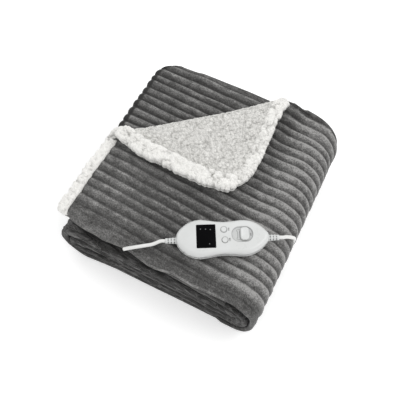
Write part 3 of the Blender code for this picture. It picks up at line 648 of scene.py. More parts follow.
def rib_lines(row, length):
    """The ribbed side's stations: y, height share of the ribs, and the painted sheen and shade of the
    nap.

    Each rib rises from its grooves as 1 minus a power of the distance from its middle. The
    grooves wander a little, lie further back at the leaf's left edge, and draw together
    where a ply's back edge is drawn in. The tone is painted sheen and shade: it lightens from
    a rib's front groove to its far shoulder, where the rib turns away, has a thin painted sheen
    line there near the right fold, and is painted dark again, as shade, in the next groove.
    """
    grooves = RIB_FIRST + RIB_PITCH * np.arange(len(GROOVE_STRAY)) + np.array(GROOVE_STRAY)
    share = np.arange(RIB_SAMPLES) / RIB_SAMPLES
    station = (grooves[:-1, None] + np.diff(grooves)[:, None] * share).reshape(-1)
    station = np.append(station, grooves[-1])[None, :]
    place = np.append(np.tile(share, len(grooves) - 1), 0.0)[None, :]
    profile = 1 - np.abs(2 * place ** 1.12 - 1) ** 2.4
    # painted sheen: a thin bright line on each rib's far shoulder near the right fold
    sheen_line = bell(place - 0.8, 0.06) * smooth_step((row["x"] - 225) / 45)
    # painted sheen and shade: the tone rises from dark in the front groove to the far shoulder and is
    # dark again in the next groove
    light = (0.12 + 0.88 * np.clip(place / 0.74, 0, 1) ** 1.3) * smooth_step((0.97 - place) / 0.15)
    skew = RIB_SKEW * (1 - smooth_step(row["x"] / FOLD_X)) * row["leaf"]
    across = station / RIB_PITCH
    wander = 1.1 * soft_noise(length / 42, across, 11) + 0.5 * soft_noise(length / 15, across, 13)
    room = np.minimum((row["back"] - 7 - SQUEEZE_Y) / (grooves[-1] + skew - SQUEEZE_Y), 1.0)
    y = station + skew + wander * row["ribs"]
    y = np.minimum(y, SQUEEZE_Y) + np.maximum(y - SQUEEZE_Y, 0) * room
    swell = 1 + 0.2 * soft_noise(length / 50, across, 12)
    calm = smooth_step((row["x"] - 20) / 150 + (y - 150) / 220)
    strength = np.where(row["leaf"] > 0.5, 0.5 + 0.5 * calm, 1.0) * swell * row["ribs"]
    return y, profile * strength, light + 0.4 * sheen_line * (0.6 + 0.4 * swell) + 0 * y


def rib_sheen_and_shade(row):
    """Darkest and lightest tone of the painted sheen and shade on the ribs of every row; lower down the
    right fold the lightest is darker, as painted shade.
    """
    places, low, high = zip(*RIB_SHEEN_AND_SHADE)
    low, high = np.interp(row["x"], places, low), np.interp(row["x"], places, high)
    # painted shade: lower down the right fold the lightest tone is darker
    high = high * np.where(row["bend"] == 1, 0.6 + 0.4 * smooth_step(row["z"] / 95), 1.0)
    return [np.where(row["second"] > 0.5, second, tone)
            for second, tone in zip(SECOND_TONES, (low, high))]


def cloth_grid(rib_height, unevenness):
    """Points of the folded cloth, its tone with the painted sheen and shade, and where the layers' ends
    show.

    Rows go along the cloth. Each is a closed ring of columns, which runs over the ribbed side
    from front to back, round the back edge, along the smooth side and round the front edge.
    """
    row = cloth_rows()
    half, leaf, bend = row["thick"] / 2, row["leaf"], row["bend"]
    path = np.column_stack([row["x"], row["z"]])
    length = np.concatenate([[0], np.cumsum(np.hypot(*np.diff(path, axis=0).T))])[:, None]
    wave = soft_noise(length / 36, 0.5, 5) * 1.3 + soft_noise(length / 13, 3.5, 6) * 0.9
    front = np.where(leaf > 0.5, np.interp(row["x"], *zip(*LEAF_FRONT)),
                     row["front"] + unevenness * wave)
    front = front - 3 * (bend == 1) * bell(row["z"] - 18, 22)
    back = row["back"] + unevenness * soft_noise(length / 45, 8.5, 7) * 1.2
    back = back + 5 * ((leaf > 0.5) | (bend == 1)) * bell(row["x"] - FOLD_X, 34)
    row.update(front=front, back=back)

    # Strips of columns round the ring: y, level, rise of the ribs, and tone. The ribbed side
    # is a plain band, the ribs and a plain band again.
    y, ribs, light = rib_lines(row, length)
    band, rest = np.linspace(0, 1, 13)[None, :-1], np.linspace(0, 1, 9)[None, 1:]
    turn = np.radians(np.linspace(90, -90, 9))[None, 1:-1]
    under = np.linspace(1, 0, 50)[None, :] ** 1.15
    low, high = rib_sheen_and_shade(row)
    ribbed = np.maximum(np.maximum(leaf, row["second"]), (bend == 1) * row["ribs"])
    plain = 0.24 + 0.09 * (1 - smooth_step((row["x"] - 60) / 90))
    # painted shade: the inner plies' plain bands are darker than the leaf's, as shade under the top leaf
    plain = plain * ribbed + INNER_SHADE * (1 - ribbed)
    # painted highlight: the leaf's rounded front edge is lighter, more so towards the right
    edge_highlight = 1.25 + 1.1 * smooth_step((row["x"] - 120) / 60) * (leaf > 0.5)
    strips = (
        ((front + half) * (1 - band) + y[:, :1] * band, 1,
         0.35 * np.sin(math.pi * band) * row["ribs"], plain - 0.14 * bell(band - 0.62, 0.07) * ribbed),
        # rib strip: painted sheen and shade on the ribbed plies, and a flat dark tone, painted shade, on
        # the inner plies
        (y, 1, ribs, (low + (high - low) * light) * ribbed + 0.05 * (1 - ribbed)),
        # back band: a painted shadow line inside the rolled hem
        (y[:, -1:] * (1 - rest) + (back - half) * rest, 1,
         0.3 * np.sin(math.pi * rest) * row["ribs"], plain * (1 - 0.85 * bell(rest - 0.4, 0.16) * leaf)),
        (back - half + half * np.cos(turn), np.sin(turn), 0, plain),
        ((front + half) * (1 - under) + (back - half) * under, -1, 0, SMOOTH_SHADE),
        (front + half - half * np.cos(turn), -np.sin(turn), 0, plain * edge_highlight),
    )
    y, level, rise, tone = (np.concatenate([strip[i] + 0 * strip[0] for strip in strips], axis=1)
                            for i in range(4))

    # The leaf ends at the turning line, and lies below the turned corner from there.
    left = PLIES[0][1]
    cut = np.clip(turning_line_x(y) + 2.5, left, None)
    x = np.where(leaf > 0.5, cut + (row["x"] - left) * (FOLD_X - cut) / (FOLD_X - left), row["x"])
    x = x + shift_x(row, x, y)
    z = row["z"] + shift_z(row, x, y)

    # The ribbed side faces square to the path of the middle of the cloth.
    along = np.gradient(path, axis=0)
    along /= np.linalg.norm(along, axis=1)[:, None]
    offset = half * level + rib_height * rise
    offset = offset + unevenness * folds_and_creases(row, x, y, level, length)
    points = np.stack([x - along[:, 1:] * offset, y, z + along[:, :1] * offset], axis=-1)
    near_front = 1 - smooth_step((y - front - 4 - 22 * (bend == 2)) / 16)
    pressed = (row["pad"] > 0.5) | ((bend > 1) & (bend < 6)) | ((row["z"] < 12) & (leaf < 0.5))
    return points, np.clip(tone, 0, 1.2), near_front * pressed


def shift_x(row, x, y):
    """The right fold splays towards the front and is rounded at its back corner, as is the
    second leaf's corner."""
    right = smooth_step((x - 0.6 * FOLD_X) / (0.4 * FOLD_X))
    shift = SPLAY * (MIDDLE_Y - y) * right
    shift = shift - BACK_ROUND_X * right * (np.maximum(y - BACK_ROUND_Y, 0) / BACK_ROUND_LENGTH) ** 2
    corner = (row["z"] > 80) & (x < CORNER_ROUND_WIDTH) & (row["leaf"] < 0.5) & (y > CORNER_ROUND_Y)
    round_off = CORNER_ROUND_X * ((y - CORNER_ROUND_Y) / CORNER_ROUND_LENGTH) ** 3
    return shift + np.where(corner, round_off * (1 - smooth_step(x / CORNER_ROUND_WIDTH)), 0)


def shift_z(row, x, y):
    """The pad fills up behind the hollow; the leaf is fuller before the right fold, lifts
    where the turned corner ends, and has a rolled hem along its back edge."""
    fill = row["fill"] * smooth_step((y - HOLLOW_FROM) / HOLLOW_SLOPE)
    near_front = 1 - smooth_step((y - row["front"] - 6) / 30)
    near_back = 0.7 - 0.7 * smooth_step((row["back"] - y - 6) / 30)
    ply = np.round(row["z"] / 30)
    waves = soft_noise(x / 17 + 9 * ply, ply, 61) * 2.4 + soft_noise(x / 7, 3 * ply, 62) * 1.1
    waves = waves * np.maximum(near_front, near_back)
    fill = fill + waves * np.maximum(row["pad"], 0.8 * (row["bend"] > 2))
    upper = ((row["leaf"] > 0.5) | (row["bend"] == 1)) & (row["z"] > 70)
    lift = LEAF_LIFT * bell(x - 232, 30) * smooth_step((y - 270) / 60)
    puff = FOLD_PUFF * smooth_step((x - PUFF_X) / 40) * smooth_step(row["z"] / 70 - 1)
    hem = sum(height * bell(row["back"] - y - middle, width)
              for middle, width, height in (HEM_ROLL, HEM_DIP))
    return fill + np.where(upper, lift + puff * (1 - bell(y - PRESS_Y, PRESS_WIDTH)) + hem, 0)


def folds_and_creases(row, x, y, level, length):
    """Soft swells everywhere, wavy creases at the front of the pad, crumples at its left."""
    swells = 1.2 * soft_noise(x / 55, y / 47, 21) + 0.6 * soft_noise(x / 21, y / 19, 22)
    free = np.where(row["leaf"] > 0.5, 0.5, 0.3) * (row["z"] > 20)
    crumpled = np.maximum(row["pad"], row["bend"] == 2) * (row["z"] > 12)
    crumpled = crumpled * (1 - smooth_step((y - row["front"] - 14) / 45)) * (level > -0.5)
    crease = np.abs(soft_noise(length / 24 + y / 50, y / 13, 23))
    left = 1 - smooth_step((x - 60) / 50)
    crumple = 3.6 * soft_noise(length / 11 + y / 30, y / 8, 24) * left
    return swells * free + (crumple - 2.4 * (1 - smooth_step(crease / 0.2))) * crumpled


class THROW_OT_ribbed_cloth(bpy.types.Operator):
    """The grey ribbed flannel, folded back and forth."""
    bl_idname = "throw.ribbed_cloth"
    bl_label = "Ribbed cloth"

    def execute(self, context):
        cloth = context.scene.throw_cloth
        points, tone, layers = cloth_grid(cloth.rib_height / MM, cloth.unevenness)
        points[..., 2] = np.maximum(points[..., 2], 0.0)
        piece = surface("ribbed_cloth", to_world(points), [flannel()], caps=True,
                        relief=tone, layers=layers)
        settle(piece, "throw", "grey_flannel", "ribbed_face")
        return {"FINISHED"}


# ================================================================== pile
def turned(run, beyond, thick, level):
    """Where points of the flat corner go, counted along and past the turning line.

    Level 0 is the pile side and 1 the side at the flannel. The corner rolls over half a
    circle, flattened as the table of its bulge says, and lies back on the ribs; the circle
    widens towards B, where the cloth arches up.
    """
    near_b = smooth_step((run - TURN_LENGTH + HOOD_LENGTH * 1.6) / (HOOD_LENGTH * 1.6))
    top = FLAP_REST + thick + HOOD_LIFT * near_b * np.exp(-np.maximum(beyond - 25, 0) / 60)
    roll = math.pi * (FLAP_REST + FLAP_THICK - SHEET_Z) / 2
    angle = np.clip(beyond / roll, 0, 1) * math.pi
    inner = (top - SHEET_Z) / 2 - level * thick
    inner = inner * quarter_circle((TURN_LENGTH - 4 - run) / 14, 0.0225)
    bulge = np.interp(run, *smooth_curve(ROLL_BULGE, 2.0).T)
    reach = inner * bulge * np.sin(angle) - np.maximum(beyond - roll, 0) + np.minimum(beyond, 0)
    return np.stack([TURN_A[0] + TURN_ALONG[0] * run - TURN_ALONG[1] * reach,
                     TURN_A[1] + TURN_ALONG[1] * run + TURN_ALONG[0] * reach,
                     (SHEET_Z + top) / 2 - inner * np.cos(angle)], axis=-1)


def pile_height(x, y, curl, lumps):
    """Height of the pile, -1 to 1: small curls, and larger tufts where lumps is 1."""
    x, y = x / curl, y / curl
    warp_x = 0.35 * soft_noise(x / 0.8, y / 0.8, 43)
    warp_y = 0.35 * soft_noise(x / 0.8, y / 0.8, 44)
    small = curl_field(x + 31 + warp_x, y + 31 + warp_y, 41)
    fine = curl_field(x * 1.9 + 57, y * 1.9 + 57, 42)
    tufts = curl_field(x / 2.1 + 17 + warp_y, y / 2.1 + 17 + warp_x, 45)
    return (0.65 * small + 0.35 * fine) * (1 - 0.4 * lumps) + 0.8 * (tufts - 0.25) * lumps


def pile_tone(height, hem):
    """How light the pile is: its depth is darker than its tips, as painted shade, and its hem lighter
    than the rest.
    """
    # the darker depth of the pile is painted shade
    return np.clip(0.05 + (1.0 + 0.35 * hem) * height + 0.34 * hem, 0.0, 1.2)


def edge_distance(run, beyond, edge):
    """Distance of each point to an edge of the corner's outline."""
    spots = np.stack([run, beyond], axis=-1)[..., None, :] - edge[::4]
    return np.sqrt((spots ** 2).sum(-1).min(-1))


class THROW_OT_pile(bpy.types.Operator):
    """The pale curly pile: the turned corner, the hem and the sheet below the top leaf."""
    bl_idname = "throw.pile"
    bl_label = "Curly pile"

    def corner(self, curl, depth):
        """The turned corner: rows along the turning line, a ring of columns round each row.

        Its outline is a smooth curve through the table of its reach, with a fuller hem on
        both sides of the tip and a seam inside the hem.
        """
        outline = smooth_curve(TURN_REACH, 1.0)
        run = np.linspace(3.0, TURN_LENGTH - 4, 250)[:, None]
        reach = np.interp(run, *outline.T)
        ragged = 1.6 * soft_noise(run / 7, 0.5, 51) + 0.9 * soft_noise(run / 3.1, 2.5, 52)
        reach = reach + ragged * smooth_step(reach / 20)
        flat = -14 + (reach + 14) * np.linspace(0, 1, 150)[None, :]
        rounding = np.radians(np.linspace(-70, 70, 7))[None, :]
        b = np.concatenate([flat, reach + 4.0 * np.cos(rounding), flat[:, ::-3]], axis=1)
        level = np.concatenate([0 * flat, (1 + np.sin(rounding)) / 2 + 0 * run,
                                1 + 0 * flat[:, ::-3]], axis=1)
        r = run + 0 * b
        hem = seam = 0.0
        for first, last, width, soft, full, seam_at, seam_width, seam_deep in CORNER_HEMS:
            edge = outline[(outline[:, 0] > first) & (outline[:, 0] < last)]
            away = edge_distance(r, b, edge)
            hem = np.maximum(hem, full * (1 - smooth_step((away - width) / soft)))
            seam = seam + seam_deep * bell(away - seam_at, seam_width)
        past = smooth_step((b - 26) / 14)
        thick = BACKING_THICK + (FLAP_THICK - BACKING_THICK) * smooth_step(b / 20)
        thick = thick + (HEM_THICK + 1.5 - thick) * hem * smooth_step((b + 4) / 24)
        thick = thick + 1.2 * soft_noise(r / 26, b / 21, 53) * past - 1.6 * seam * past
        points = turned(r, b, thick, level)
        normals = ring_normals(points)
        outward = np.sign(((points - turned(r, b, thick, 0.5)) * normals).sum(-1))
        normals = normals * np.where(outward == 0, 1, outward)[..., None]
        height = pile_height(r, b, curl, hem)
        deep = height * depth * (0.85 + hem) * np.clip(1.35 - level, 0, 1)
        kinds = (level[:-1] > np.where(run[:-1] > 255, 0.35, 0.93)).astype(int)
        return surface("pile_corner", to_world(points + normals * deep[..., None]),
                       [pile(), flannel()], caps=True, faces_material=kinds,
                       relief=np.where(level < 0.9, pile_tone(height, hem), 0.5))

    def sheet(self, curl, depth):
        """The sheet below the leaf, with its thick twisted hem along the left edge."""
        y = np.linspace(SHEET_FRONT, SHEET_BACK, 250)[:, None]
        left = np.where(y < TURN_A[1] + 12, TURN_A[0] - 3.5, turning_line_x(y) - 12)
        left = left + 2.5 * smooth_step((y - 60) / 70) + 1.3 * soft_noise(y / 12, 0.5, 54)
        left = left + 9 * (1 - quarter_circle((y - SHEET_FRONT) / 10))
        hem_share = (np.sin(np.radians(np.linspace(-90, 90, 19)[None, :])) + 1) / 2
        near = left + (HEM_WIDTH + 4) * hem_share
        far = np.linspace(0, 1, 22)[None, 1:]
        x = np.concatenate([near, near[:, -1:] + (SHEET_RIGHT - near[:, -1:]) * far], axis=1)
        side = np.repeat((1, -1), x.shape[1])[None, :]
        x = np.concatenate([x, x[:, ::-1]], axis=1)
        hem = 1 - smooth_step((x - left - HEM_WIDTH) / 6)
        hem = hem * (1 - smooth_step((y - TURN_A[1] - 4) / 16))
        thick = BACKING_THICK + (HEM_THICK - BACKING_THICK) * hem
        shape = quarter_circle((x - left) / 7) * quarter_circle((y - SHEET_FRONT) / 6, 0.02)
        points = np.stack([x, y + 0 * x, SHEET_Z + thick / 2 + side * shape * thick / 2], axis=-1)
        normals = np.stack([-1.2 * (1 - shape), 0 * x, side + 0 * x], axis=-1)
        normals /= np.linalg.norm(normals, axis=-1, keepdims=True)
        height = pile_height(x + 40 * (side < 0) + 70, y + 0 * x, curl, hem)
        twist = np.sin((y + 1.1 * (x - left)) * 2 * math.pi / 13)
        points = points + normals * (hem * (height * depth * 1.5 + twist))[..., None]
        return surface("pile_sheet", to_world(points), [pile()], caps=True,
                       relief=pile_tone(height, hem))

    def execute(self, context):
        look = context.scene.throw_pile
        for build, flat, area in ((self.corner, (0.31, 0.20), 0.031),
                                  (self.sheet, (0.28, 0.347), 0.0757)):
            piece = build(look.curl / MM, look.depth / MM)
            settle(piece, "throw", "pale_pile", "pale_backing")
        return {"FINISHED"}


# ================================================================== controller
def box_distance(x, y, size, radius):
    """Distance outside a rectangle with round corners; negative inside."""
    across_x = np.abs(x) - size[0] / 2 + radius
    across_y = np.abs(y) - size[1] / 2 + radius
    outside = np.hypot(np.maximum(across_x, 0), np.maximum(across_y, 0))
    return outside + np.minimum(np.maximum(across_x, across_y), 0) - radius


def well_distance(x, y):
    """Distance outside the switch's well; negative inside."""
    return box_distance(x - SWITCH_AT[0], y - SWITCH_AT[1], SWITCH_WELL, SWITCH_WELL_ROUND)


def wells(x, y):
    """Depth of the hollows in the top: switch well, rings round the buttons, window."""
    deep = SWITCH_WELL_DEEP * smooth_step(0.5 - well_distance(x, y) / 1.1)
    for _, _, at_x, at_y in BUTTONS:
        away = np.hypot(x - at_x, y - at_y)
        deep = deep + RING_DEEP * smooth_step(0.5 - (away - BUTTON_RADIUS - 0.4) / 0.7)
    to_window = box_distance(x - WINDOW_AT[0], y - WINDOW_AT[1], WINDOW_SIZE, 1.2)
    return deep + WINDOW_SUNK * smooth_step(0.5 - to_window / 0.7)


def print_and_shade(x, y):
    """Grey print and painted shade of the cover, 0 to 1: shade in its hollows and darker towards its
    left end.

    Three strokes stand beside each button and one beside the well. A bar with a foot at each
    end is left light on the well's shaded floor and outlined in painted shade, in place of a raised bar.
    """
    to_well = well_distance(x, y)
    # painted shade: darker towards the left end, grey in the switch well and darker at its rim
    shade = 0.05 * (1 - smooth_step((x + 60) / 60)) + 0.17 * smooth_step(0.5 - to_well)
    shade = shade + 0.30 * bell(to_well + 0.3, 0.55)
    strokes = [(SWITCH_AT[0] + 12.9, SWITCH_AT[1], (1.3, 4.6), 0.4, 0.5, 0.8)]
    for _, _, at_x, at_y in BUTTONS:
        # painted shade in the hollow ring round each button
        shade = shade + 0.45 * bell(np.hypot(x - at_x, y - at_y) - BUTTON_RADIUS - 0.5, 0.6)
        strokes += [(at_x + 7.4, at_y + step, (2.4, 1.2), 0.3, 0.4, 0.9) for step in (-1.6, 0.2, 2.0)]
    for at_x, at_y, size, radius, blur, dark in strokes:
        stroke = box_distance(x - at_x, y - at_y, size, radius)
        shade = shade + dark * smooth_step(0.5 - stroke / blur)
    # the bar is left light on the well's painted shade and outlined in painted shade
    bar = np.min([box_distance(x - KNOB_AT + 8.8, y - SWITCH_AT[1] - end, size, 0.3)
                  for end, size in ((0, (1.6, 12.5)), (-6.2, (4.2, 1.4)), (6.2, (4.2, 1.4)))], axis=0)
    shade = shade * (1 - smooth_step(0.5 - bar / 0.5)) + 0.6 * bell(bar - 0.6, 0.4)
    return np.clip(shade, 0, 1)


class THROW_OT_controller_case(bpy.types.Operator):
    """The two halves of the controller's case."""
    bl_idname = "throw.controller_case"
    bl_label = "Controller case"

    def shell(self, low, high, rim_low, rim_high, is_cover):
        """Points and shade of a closed half: rows along it, a ring over its top and underside.

        Each face falls away at the rim by a quarter circle of the distance to the outline.
        Stations lie close together at the ends and near the fittings.
        """
        ends = CASE_END * np.sin(np.linspace(-1, 1, 90) * math.pi / 2)
        fine = np.concatenate([ends, np.arange(-4, 10, 0.45), np.arange(12, 47, 0.5)])
        x = np.unique(np.round(fine, 3))[:, None]
        width = smooth_curve(CASE_OUTLINE, 0.8)
        width = np.interp(x, width[:, 0], np.maximum(width[:, 1], 0))
        y = width * np.sin(np.linspace(-1, 1, 99) * math.pi / 2)[None, :]
        outline = smooth_curve(CASE_OUTLINE, 1.2)
        outline = np.concatenate([outline, outline * (1, -1)])
        spots = np.stack([x + 0 * y, y], axis=-1).reshape(-1, 1, 2)
        edge = np.sqrt(((spots - outline[None]) ** 2).sum(-1).min(1)).reshape(y.shape)
        upper = high - rim_high * (1 - quarter_circle(edge / rim_high))
        lower = low + rim_low * (1 - quarter_circle(edge / rim_low))
        shade = 0 * y
        if is_cover:
            upper, shade = upper - wells(x, y), print_and_shade(x, y)
        faces = [np.stack([x + 0 * y, y, face], axis=-1) for face in (upper, lower)]
        points = np.concatenate([faces[0], faces[1][:, ::-1]], axis=1)
        return from_case(points), np.concatenate([shade, 0 * y], axis=1)

    def execute(self, context):
        middle = CASE_SPLIT + CASE_GAP / 2
        for half, levels in (("cover", (middle, CASE_HEIGHT, SEAM_ROUND, COVER_ROUND)),
                             ("base", (0.0, middle - CASE_GAP, BASE_ROUND, SEAM_ROUND))):
            points, shade = self.shell(*levels, half == "cover")
            white = plastic("case_white_satin", 0.3, 0.25, over=shaded)
            piece = surface("case_" + half, points, [white], shade=shade)
            settle(piece, "throw", "case_white", "controller_" + half)
        return {"FINISHED"}


def prism(outline, profile, at_x, at_y):
    """World points of a prism: a ring of the outline for each (inset, height) of a profile."""
    outline = np.asarray(outline, float)
    middle = outline.mean(axis=0)
    away = outline - middle
    reach = np.linalg.norm(away, axis=1, keepdims=True)
    rings = []
    for inset, height in profile:
        ring = middle + away * np.maximum(reach - inset, 0) / reach
        rings.append(np.column_stack([ring, np.full(len(ring), height)]))
    return from_case(np.stack(rings) + (at_x, at_y, 0))


def rounded_outline(length, width, radius, points=8):
    """Outline of a rectangle with round corners."""
    angle = np.linspace(0, math.pi / 2, points + 1)
    corners = []
    for quarter, (sign_x, sign_y) in enumerate(((1, 1), (-1, 1), (-1, -1), (1, -1))):
        turn = angle + quarter * math.pi / 2
        corners.append(np.column_stack([sign_x * (length / 2 - radius) + radius * np.cos(turn),
                                        sign_y * (width / 2 - radius) + radius * np.sin(turn)]))
    return np.concatenate(corners)


def full_turn():
    """Angles round a circle, each once."""
    return np.linspace(0, 2 * math.pi, 33)[:-1]


def round_over(radius, low, high, steps=6):
    """Profile of a wall with a rounded upper rim: (inset, height) from the foot up."""
    return [(0.0, low)] + [(radius * (1 - math.cos(a)), high - radius * (1 - math.sin(a)))
                           for a in np.linspace(0, math.pi / 2, steps + 1)]


def window_dots(tree):
    """The faint dots of the display: the share and the colour of their light."""
    place, lit = tree.place(), 0.0
    for dot in WINDOW_DOTS:
        middle = tuple(from_case((*dot, CASE_HEIGHT + 0.15)))
        away = tree.node("VectorMath", {0: place, 1: middle}, operation="DISTANCE")["Value"]
        lit = tree.join("ADD", tree.span(away, 0.5 * MM, 1.1 * MM, 1.0, 0.0), lit)
    return lit, (0.16, 0.16, 0.16, 1)


class THROW_OT_controller_fittings(bpy.types.Operator):
    """Display window, push buttons and slide knob."""
    bl_idname = "throw.controller_fittings"
    bl_label = "Controller fittings"

    def button(self, node, body, x, y):
        """A round button with a slightly hollow top."""
        turn = full_turn()
        outline = np.column_stack([np.cos(turn), np.sin(turn)]) * BUTTON_RADIUS
        high = CASE_HEIGHT + BUTTON_PROUD
        profile = round_over(0.9, CASE_HEIGHT - BUTTON_DEEP, high)
        profile += [(2.2, high - 0.12), (3.4, high - 0.2)]
        piece = surface(node + "_cap", prism(outline, profile, x, y),
                        [plastic("button_white")], caps=True)
        settle(piece, body, node + "_white", node)

    def knob(self):
        """The slide knob: a rounded block, slightly hollow for the finger."""
        length, width, tall = KNOB_SIZE
        foot = CASE_HEIGHT - SWITCH_WELL_DEEP + CASE_GAP
        high = foot + tall
        profile = round_over(1.6, foot, high) + [(3.0, high - 0.1), (4.6, high - 0.35)]
        points = prism(rounded_outline(length, width, 4.5), profile, KNOB_AT, SWITCH_AT[1])
        piece = surface("knob_cap", points, [plastic("knob_white_gloss", 0.28, 0.3)], caps=True)
        settle(piece, "slide_switch", "knob_white", "switch_knob")

    def window(self):
        """The black display window, a thin plate with soft corners."""
        profile = round_over(0.3, CASE_HEIGHT - 1.2, CASE_HEIGHT + 0.15, 3)
        points = prism(rounded_outline(*WINDOW_SIZE, 1.2, 4), profile, *WINDOW_AT)
        glass = plastic("window_black_gloss", 0.4, 0.0, (0.002, 0.002, 0.0024), 0.03, window_dots)
        piece = surface("display_glass", points, [glass], caps=True)
        settle(piece, "throw", "window_black", "display_window")

    def execute(self, context):
        for button in BUTTONS:
            self.button(*button)
        self.knob()
        self.window()
        return {"FINISHED"}


class THROW_OT_strain_reliefs(bpy.types.Operator):
    """The two slotted boots where the leads leave the case."""
    bl_idname = "throw.strain_reliefs"
    bl_label = "Strain reliefs"

    def execute(self, context):
        turn = full_turn()[None, :]
        along = np.linspace(-RELIEF_ROOT, RELIEF_OUT, 85)[:, None]
        share = (along + RELIEF_ROOT) / (RELIEF_ROOT + RELIEF_OUT)
        slot = smooth_step((0.26 - np.abs((along / SLOT_PITCH) % 1 - 0.5)) / 0.08)
        slot = slot * (along > 1) * (along < SLOTS_END)
        slot = slot * smooth_step((np.abs(np.sin(turn * 3)) - 0.35) / 0.2)
        radius = RELIEF_RADIUS[0] + (RELIEF_RADIUS[1] - RELIEF_RADIUS[0]) * share - slot
        white = plastic("relief_white", 0.45, over=shaded)
        for node, side in (("relief_left", -1), ("relief_right", 1)):
            x = side * (CASE_END + along) + 0 * turn
            points = np.stack([x, radius * np.cos(turn), RELIEF_Z + radius * np.sin(turn)], axis=-1)
            # the slots are painted darker, as shade in them
            piece = surface(node + "_boot", from_case(points), [white], caps=True,
                            shade=0.75 * slot)
            settle(piece, "throw", node + "_white", node)
        return {"FINISHED"}


# ================================================================== leads
def case_exit(side):
    """Where a lead leaves its boot, and a point straight on from there, in table sizes."""
    reach = CASE_END + RELIEF_OUT + CASE_GAP
    points = [(side * distance, 0, RELIEF_Z) for distance in (reach, reach + 7)]
    return from_case(points) / MM + (*MIDDLE, 0)


def hank_points():
    """The stored turns: a racetrack whose end radius and height change late in each turn."""
    last = len(HANK_TURNS) - 1
    step = np.linspace(0, last + HANK_PART_TURN, 520)
    whole = np.minimum(np.floor(step).astype(int), last)
    part = step - whole
    turns = np.array(HANK_TURNS)
    change = smooth_step((part - 0.66) / 0.3)[:, None]
    sizes = turns[whole] + (turns[np.minimum(whole + 1, last)] - turns[whole]) * change
    radius, level = sizes.T
    arc, run = math.pi * radius, HANK_RUN
    travelled = part * 2 * (run + arc)
    angle_left = (travelled - run) / radius
    angle_right = (travelled - 2 * run - arc) / radius
    front, left, back = travelled <= run, travelled <= run + arc, travelled <= 2 * run + arc
    x = np.select([front, left, back], [run / 2 - travelled, -run / 2 - radius * np.sin(angle_left),
                                        -run / 2 + travelled - run - arc],
                  run / 2 + radius * np.sin(angle_right))
    y = np.select([front, left, back], [-radius, -radius * np.cos(angle_left), radius],
                  radius * np.cos(angle_right))
    return np.column_stack([x + HANK_MIDDLE[0], y + HANK_MIDDLE[1], level])


def tube(name, points):
    """A lead: a curve of one open spline with a round section."""
    curve = bpy.data.curves.new(name, "CURVE")
    curve.dimensions = "3D"
    curve.bevel_depth = CORD * MM / 2
    curve.bevel_resolution = 5
    curve.use_fill_caps = True
    spline = curve.splines.new("POLY")
    spline.points.add(len(points) - 1)
    spline.points.foreach_set("co", np.column_stack([to_world(points), np.ones(len(points))]).ravel())
    spline.use_smooth = True
    curve.materials.append(plastic("lead_jacket", 0.42, colour=bpy.context.scene.throw_case.lead))
    return shown(name, curve)


class THROW_OT_leads(bpy.types.Operator):
    """The lead into the cloth, and the mains lead with its stored turns."""
    bl_idname = "throw.leads"
    bl_label = "Leads"

    def execute(self, context):
        start = case_exit(-1)
        points = smooth_curve(np.concatenate([start, BLANKET_ROUTE]), 2.5)
        short = tube("cloth_lead", points)
        settle(short, "throw", "lead_white", "lead_blanket")
        start = case_exit(1)
        way = smooth_curve(np.concatenate([start, MAINS_ROUTE]), 2.5)
        points = np.concatenate([way[:-6], hank_points()[8:], smooth_curve(TAIL_ROUTE, 2.0)])
        long = tube("mains_lead", smooth_curve(points[::3], 2.5))
        settle(long, "throw", "lead_white", "lead_mains", "lead_hank", "lead_tail")
        return {"FINISHED"}


class THROW_OT_plug(bpy.types.Operator):
    """Finish of the plug and its pins."""
    bl_idname = "throw.plug"
    bl_label = "Plug"

    def execute(self, context):
        white = plastic("plug_white", 0.4)
        plated = finish("pin_plate", "mould", {"Tone": (0.72, 0.71, 0.68, 1), "Gloss": 0.22},
                        {"Metallic": 1.0})
        for node, material in (("plug_body", white), ("plug_pin_front", plated),
                               ("plug_pin_back", plated)):
            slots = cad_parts[node].data.materials
            slots.clear()
            slots.append(material)
        return {"FINISHED"}


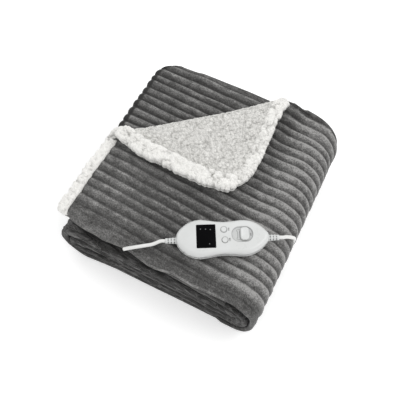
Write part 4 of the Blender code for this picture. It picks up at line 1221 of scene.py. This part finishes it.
# ================================================================== stage
class THROW_OT_stage(bpy.types.Operator):
    """Floor, lights, even room light and camera."""
    bl_idname = "throw.stage"
    bl_label = "Stage"

    def floor(self):
        """A wide pale floor that glows a little, so that it stays white."""
        x = np.linspace(-4, 4, 9)[:, None] + np.zeros((1, 9))
        points = np.stack([x, x.T, np.full_like(x, -0.3 * MM)], axis=-1)
        material = bpy.data.materials.new("floor_pale")
        material.use_nodes = True
        tree = Tree(material.node_tree)
        speckle = tree.noise(tree.place(), 30.0)[0]
        tree.feed(material.node_tree.nodes["Principled BSDF"], {
            "Base Color": tree.mix(speckle, (0.90, 0.90, 0.90, 1), (0.94, 0.94, 0.94, 1)),
            "Roughness": 0.9, "Specular IOR Level": 0.1,
            "Emission Color": (1, 1, 1, 1), "Emission Strength": 0.28})
        surface("floor", points, [material], ring=False)

    def execute(self, context):
        look, scene = context.scene.throw_stage, context.scene
        scene.view_settings.view_transform = "Standard"
        lens = bpy.data.cameras.new("camera")
        lens.lens = look.lens
        lens.sensor_width = 36.0
        lens.clip_end = 50.0
        camera = shown("camera", lens)
        camera.location = to_world(CAMERA_AT)
        camera.rotation_euler = (math.pi / 2 - CAMERA_DOWN, 0, CAMERA_TURN)
        scene.camera = camera
        self.floor()
        scene.world = bpy.data.worlds.new("room")
        scene.world.use_nodes = True
        Tree(scene.world.node_tree).feed(scene.world.node_tree.nodes["Background"],
                                         {"Color": (1, 1, 1, 1), "Strength": look.fill})
        for name, place, size, power in (("key", (0.8, 0.5, 1.6), 1.1, look.key),
                                         ("side", (-1.2, 0.2, 1.2), 0.9, look.key * 0.3)):
            light = bpy.data.lights.new(name, "AREA")
            light.size = size
            light.energy = power
            lamp = shown(name, light)
            lamp.location = place
            lamp.rotation_euler = (-Vector(place)).to_track_quat("-Z", "Y").to_euler()
        return {"FINISHED"}


# ================================================================== panel and run
OPERATORS = (THROW_OT_stage, THROW_OT_leads, THROW_OT_ribbed_cloth, THROW_OT_pile,
             THROW_OT_controller_case, THROW_OT_controller_fittings, THROW_OT_strain_reliefs,
             THROW_OT_plug)
SETTINGS = (("throw_cloth", ThrowCloth), ("throw_pile", ThrowPile), ("throw_case", ThrowCase),
            ("throw_stage", ThrowStage))


class THROW_PT_pieces(bpy.types.Panel):
    """Lists the throw's settings and pieces."""
    bl_idname = "THROW_PT_pieces"
    bl_label = "Folded heated throw"
    bl_space_type = "VIEW_3D"
    bl_region_type = "UI"
    bl_category = "Throw"

    def draw(self, context):
        for name, group in SETTINGS:
            box = self.layout.box()
            for key in group.__annotations__:
                box.prop(getattr(context.scene, name), key)
        for operator in OPERATORS:
            self.layout.operator(operator.bl_idname)


def register():
    """Registers the settings, the operators and the panel."""
    for name, group in SETTINGS:
        bpy.utils.register_class(group)
        setattr(bpy.types.Scene, name, PointerProperty(type=group))
    for kind in (*OPERATORS, THROW_PT_pieces):
        bpy.utils.register_class(kind)


def unregister():
    """Removes what register added."""
    for kind in (*OPERATORS, THROW_PT_pieces):
        bpy.utils.unregister_class(kind)
    for name, group in SETTINGS:
        delattr(bpy.types.Scene, name)
        bpy.utils.unregister_class(group)


def main():
    """Builds every piece."""
    register()
    bpy.ops.throw.stage()
    bpy.ops.throw.leads()
    bpy.ops.throw.ribbed_cloth()
    bpy.ops.throw.pile()
    bpy.ops.throw.controller_case()
    bpy.ops.throw.controller_fittings()
    bpy.ops.throw.strain_reliefs()
    bpy.ops.throw.plug()


if __name__ == "__main__":
    main()
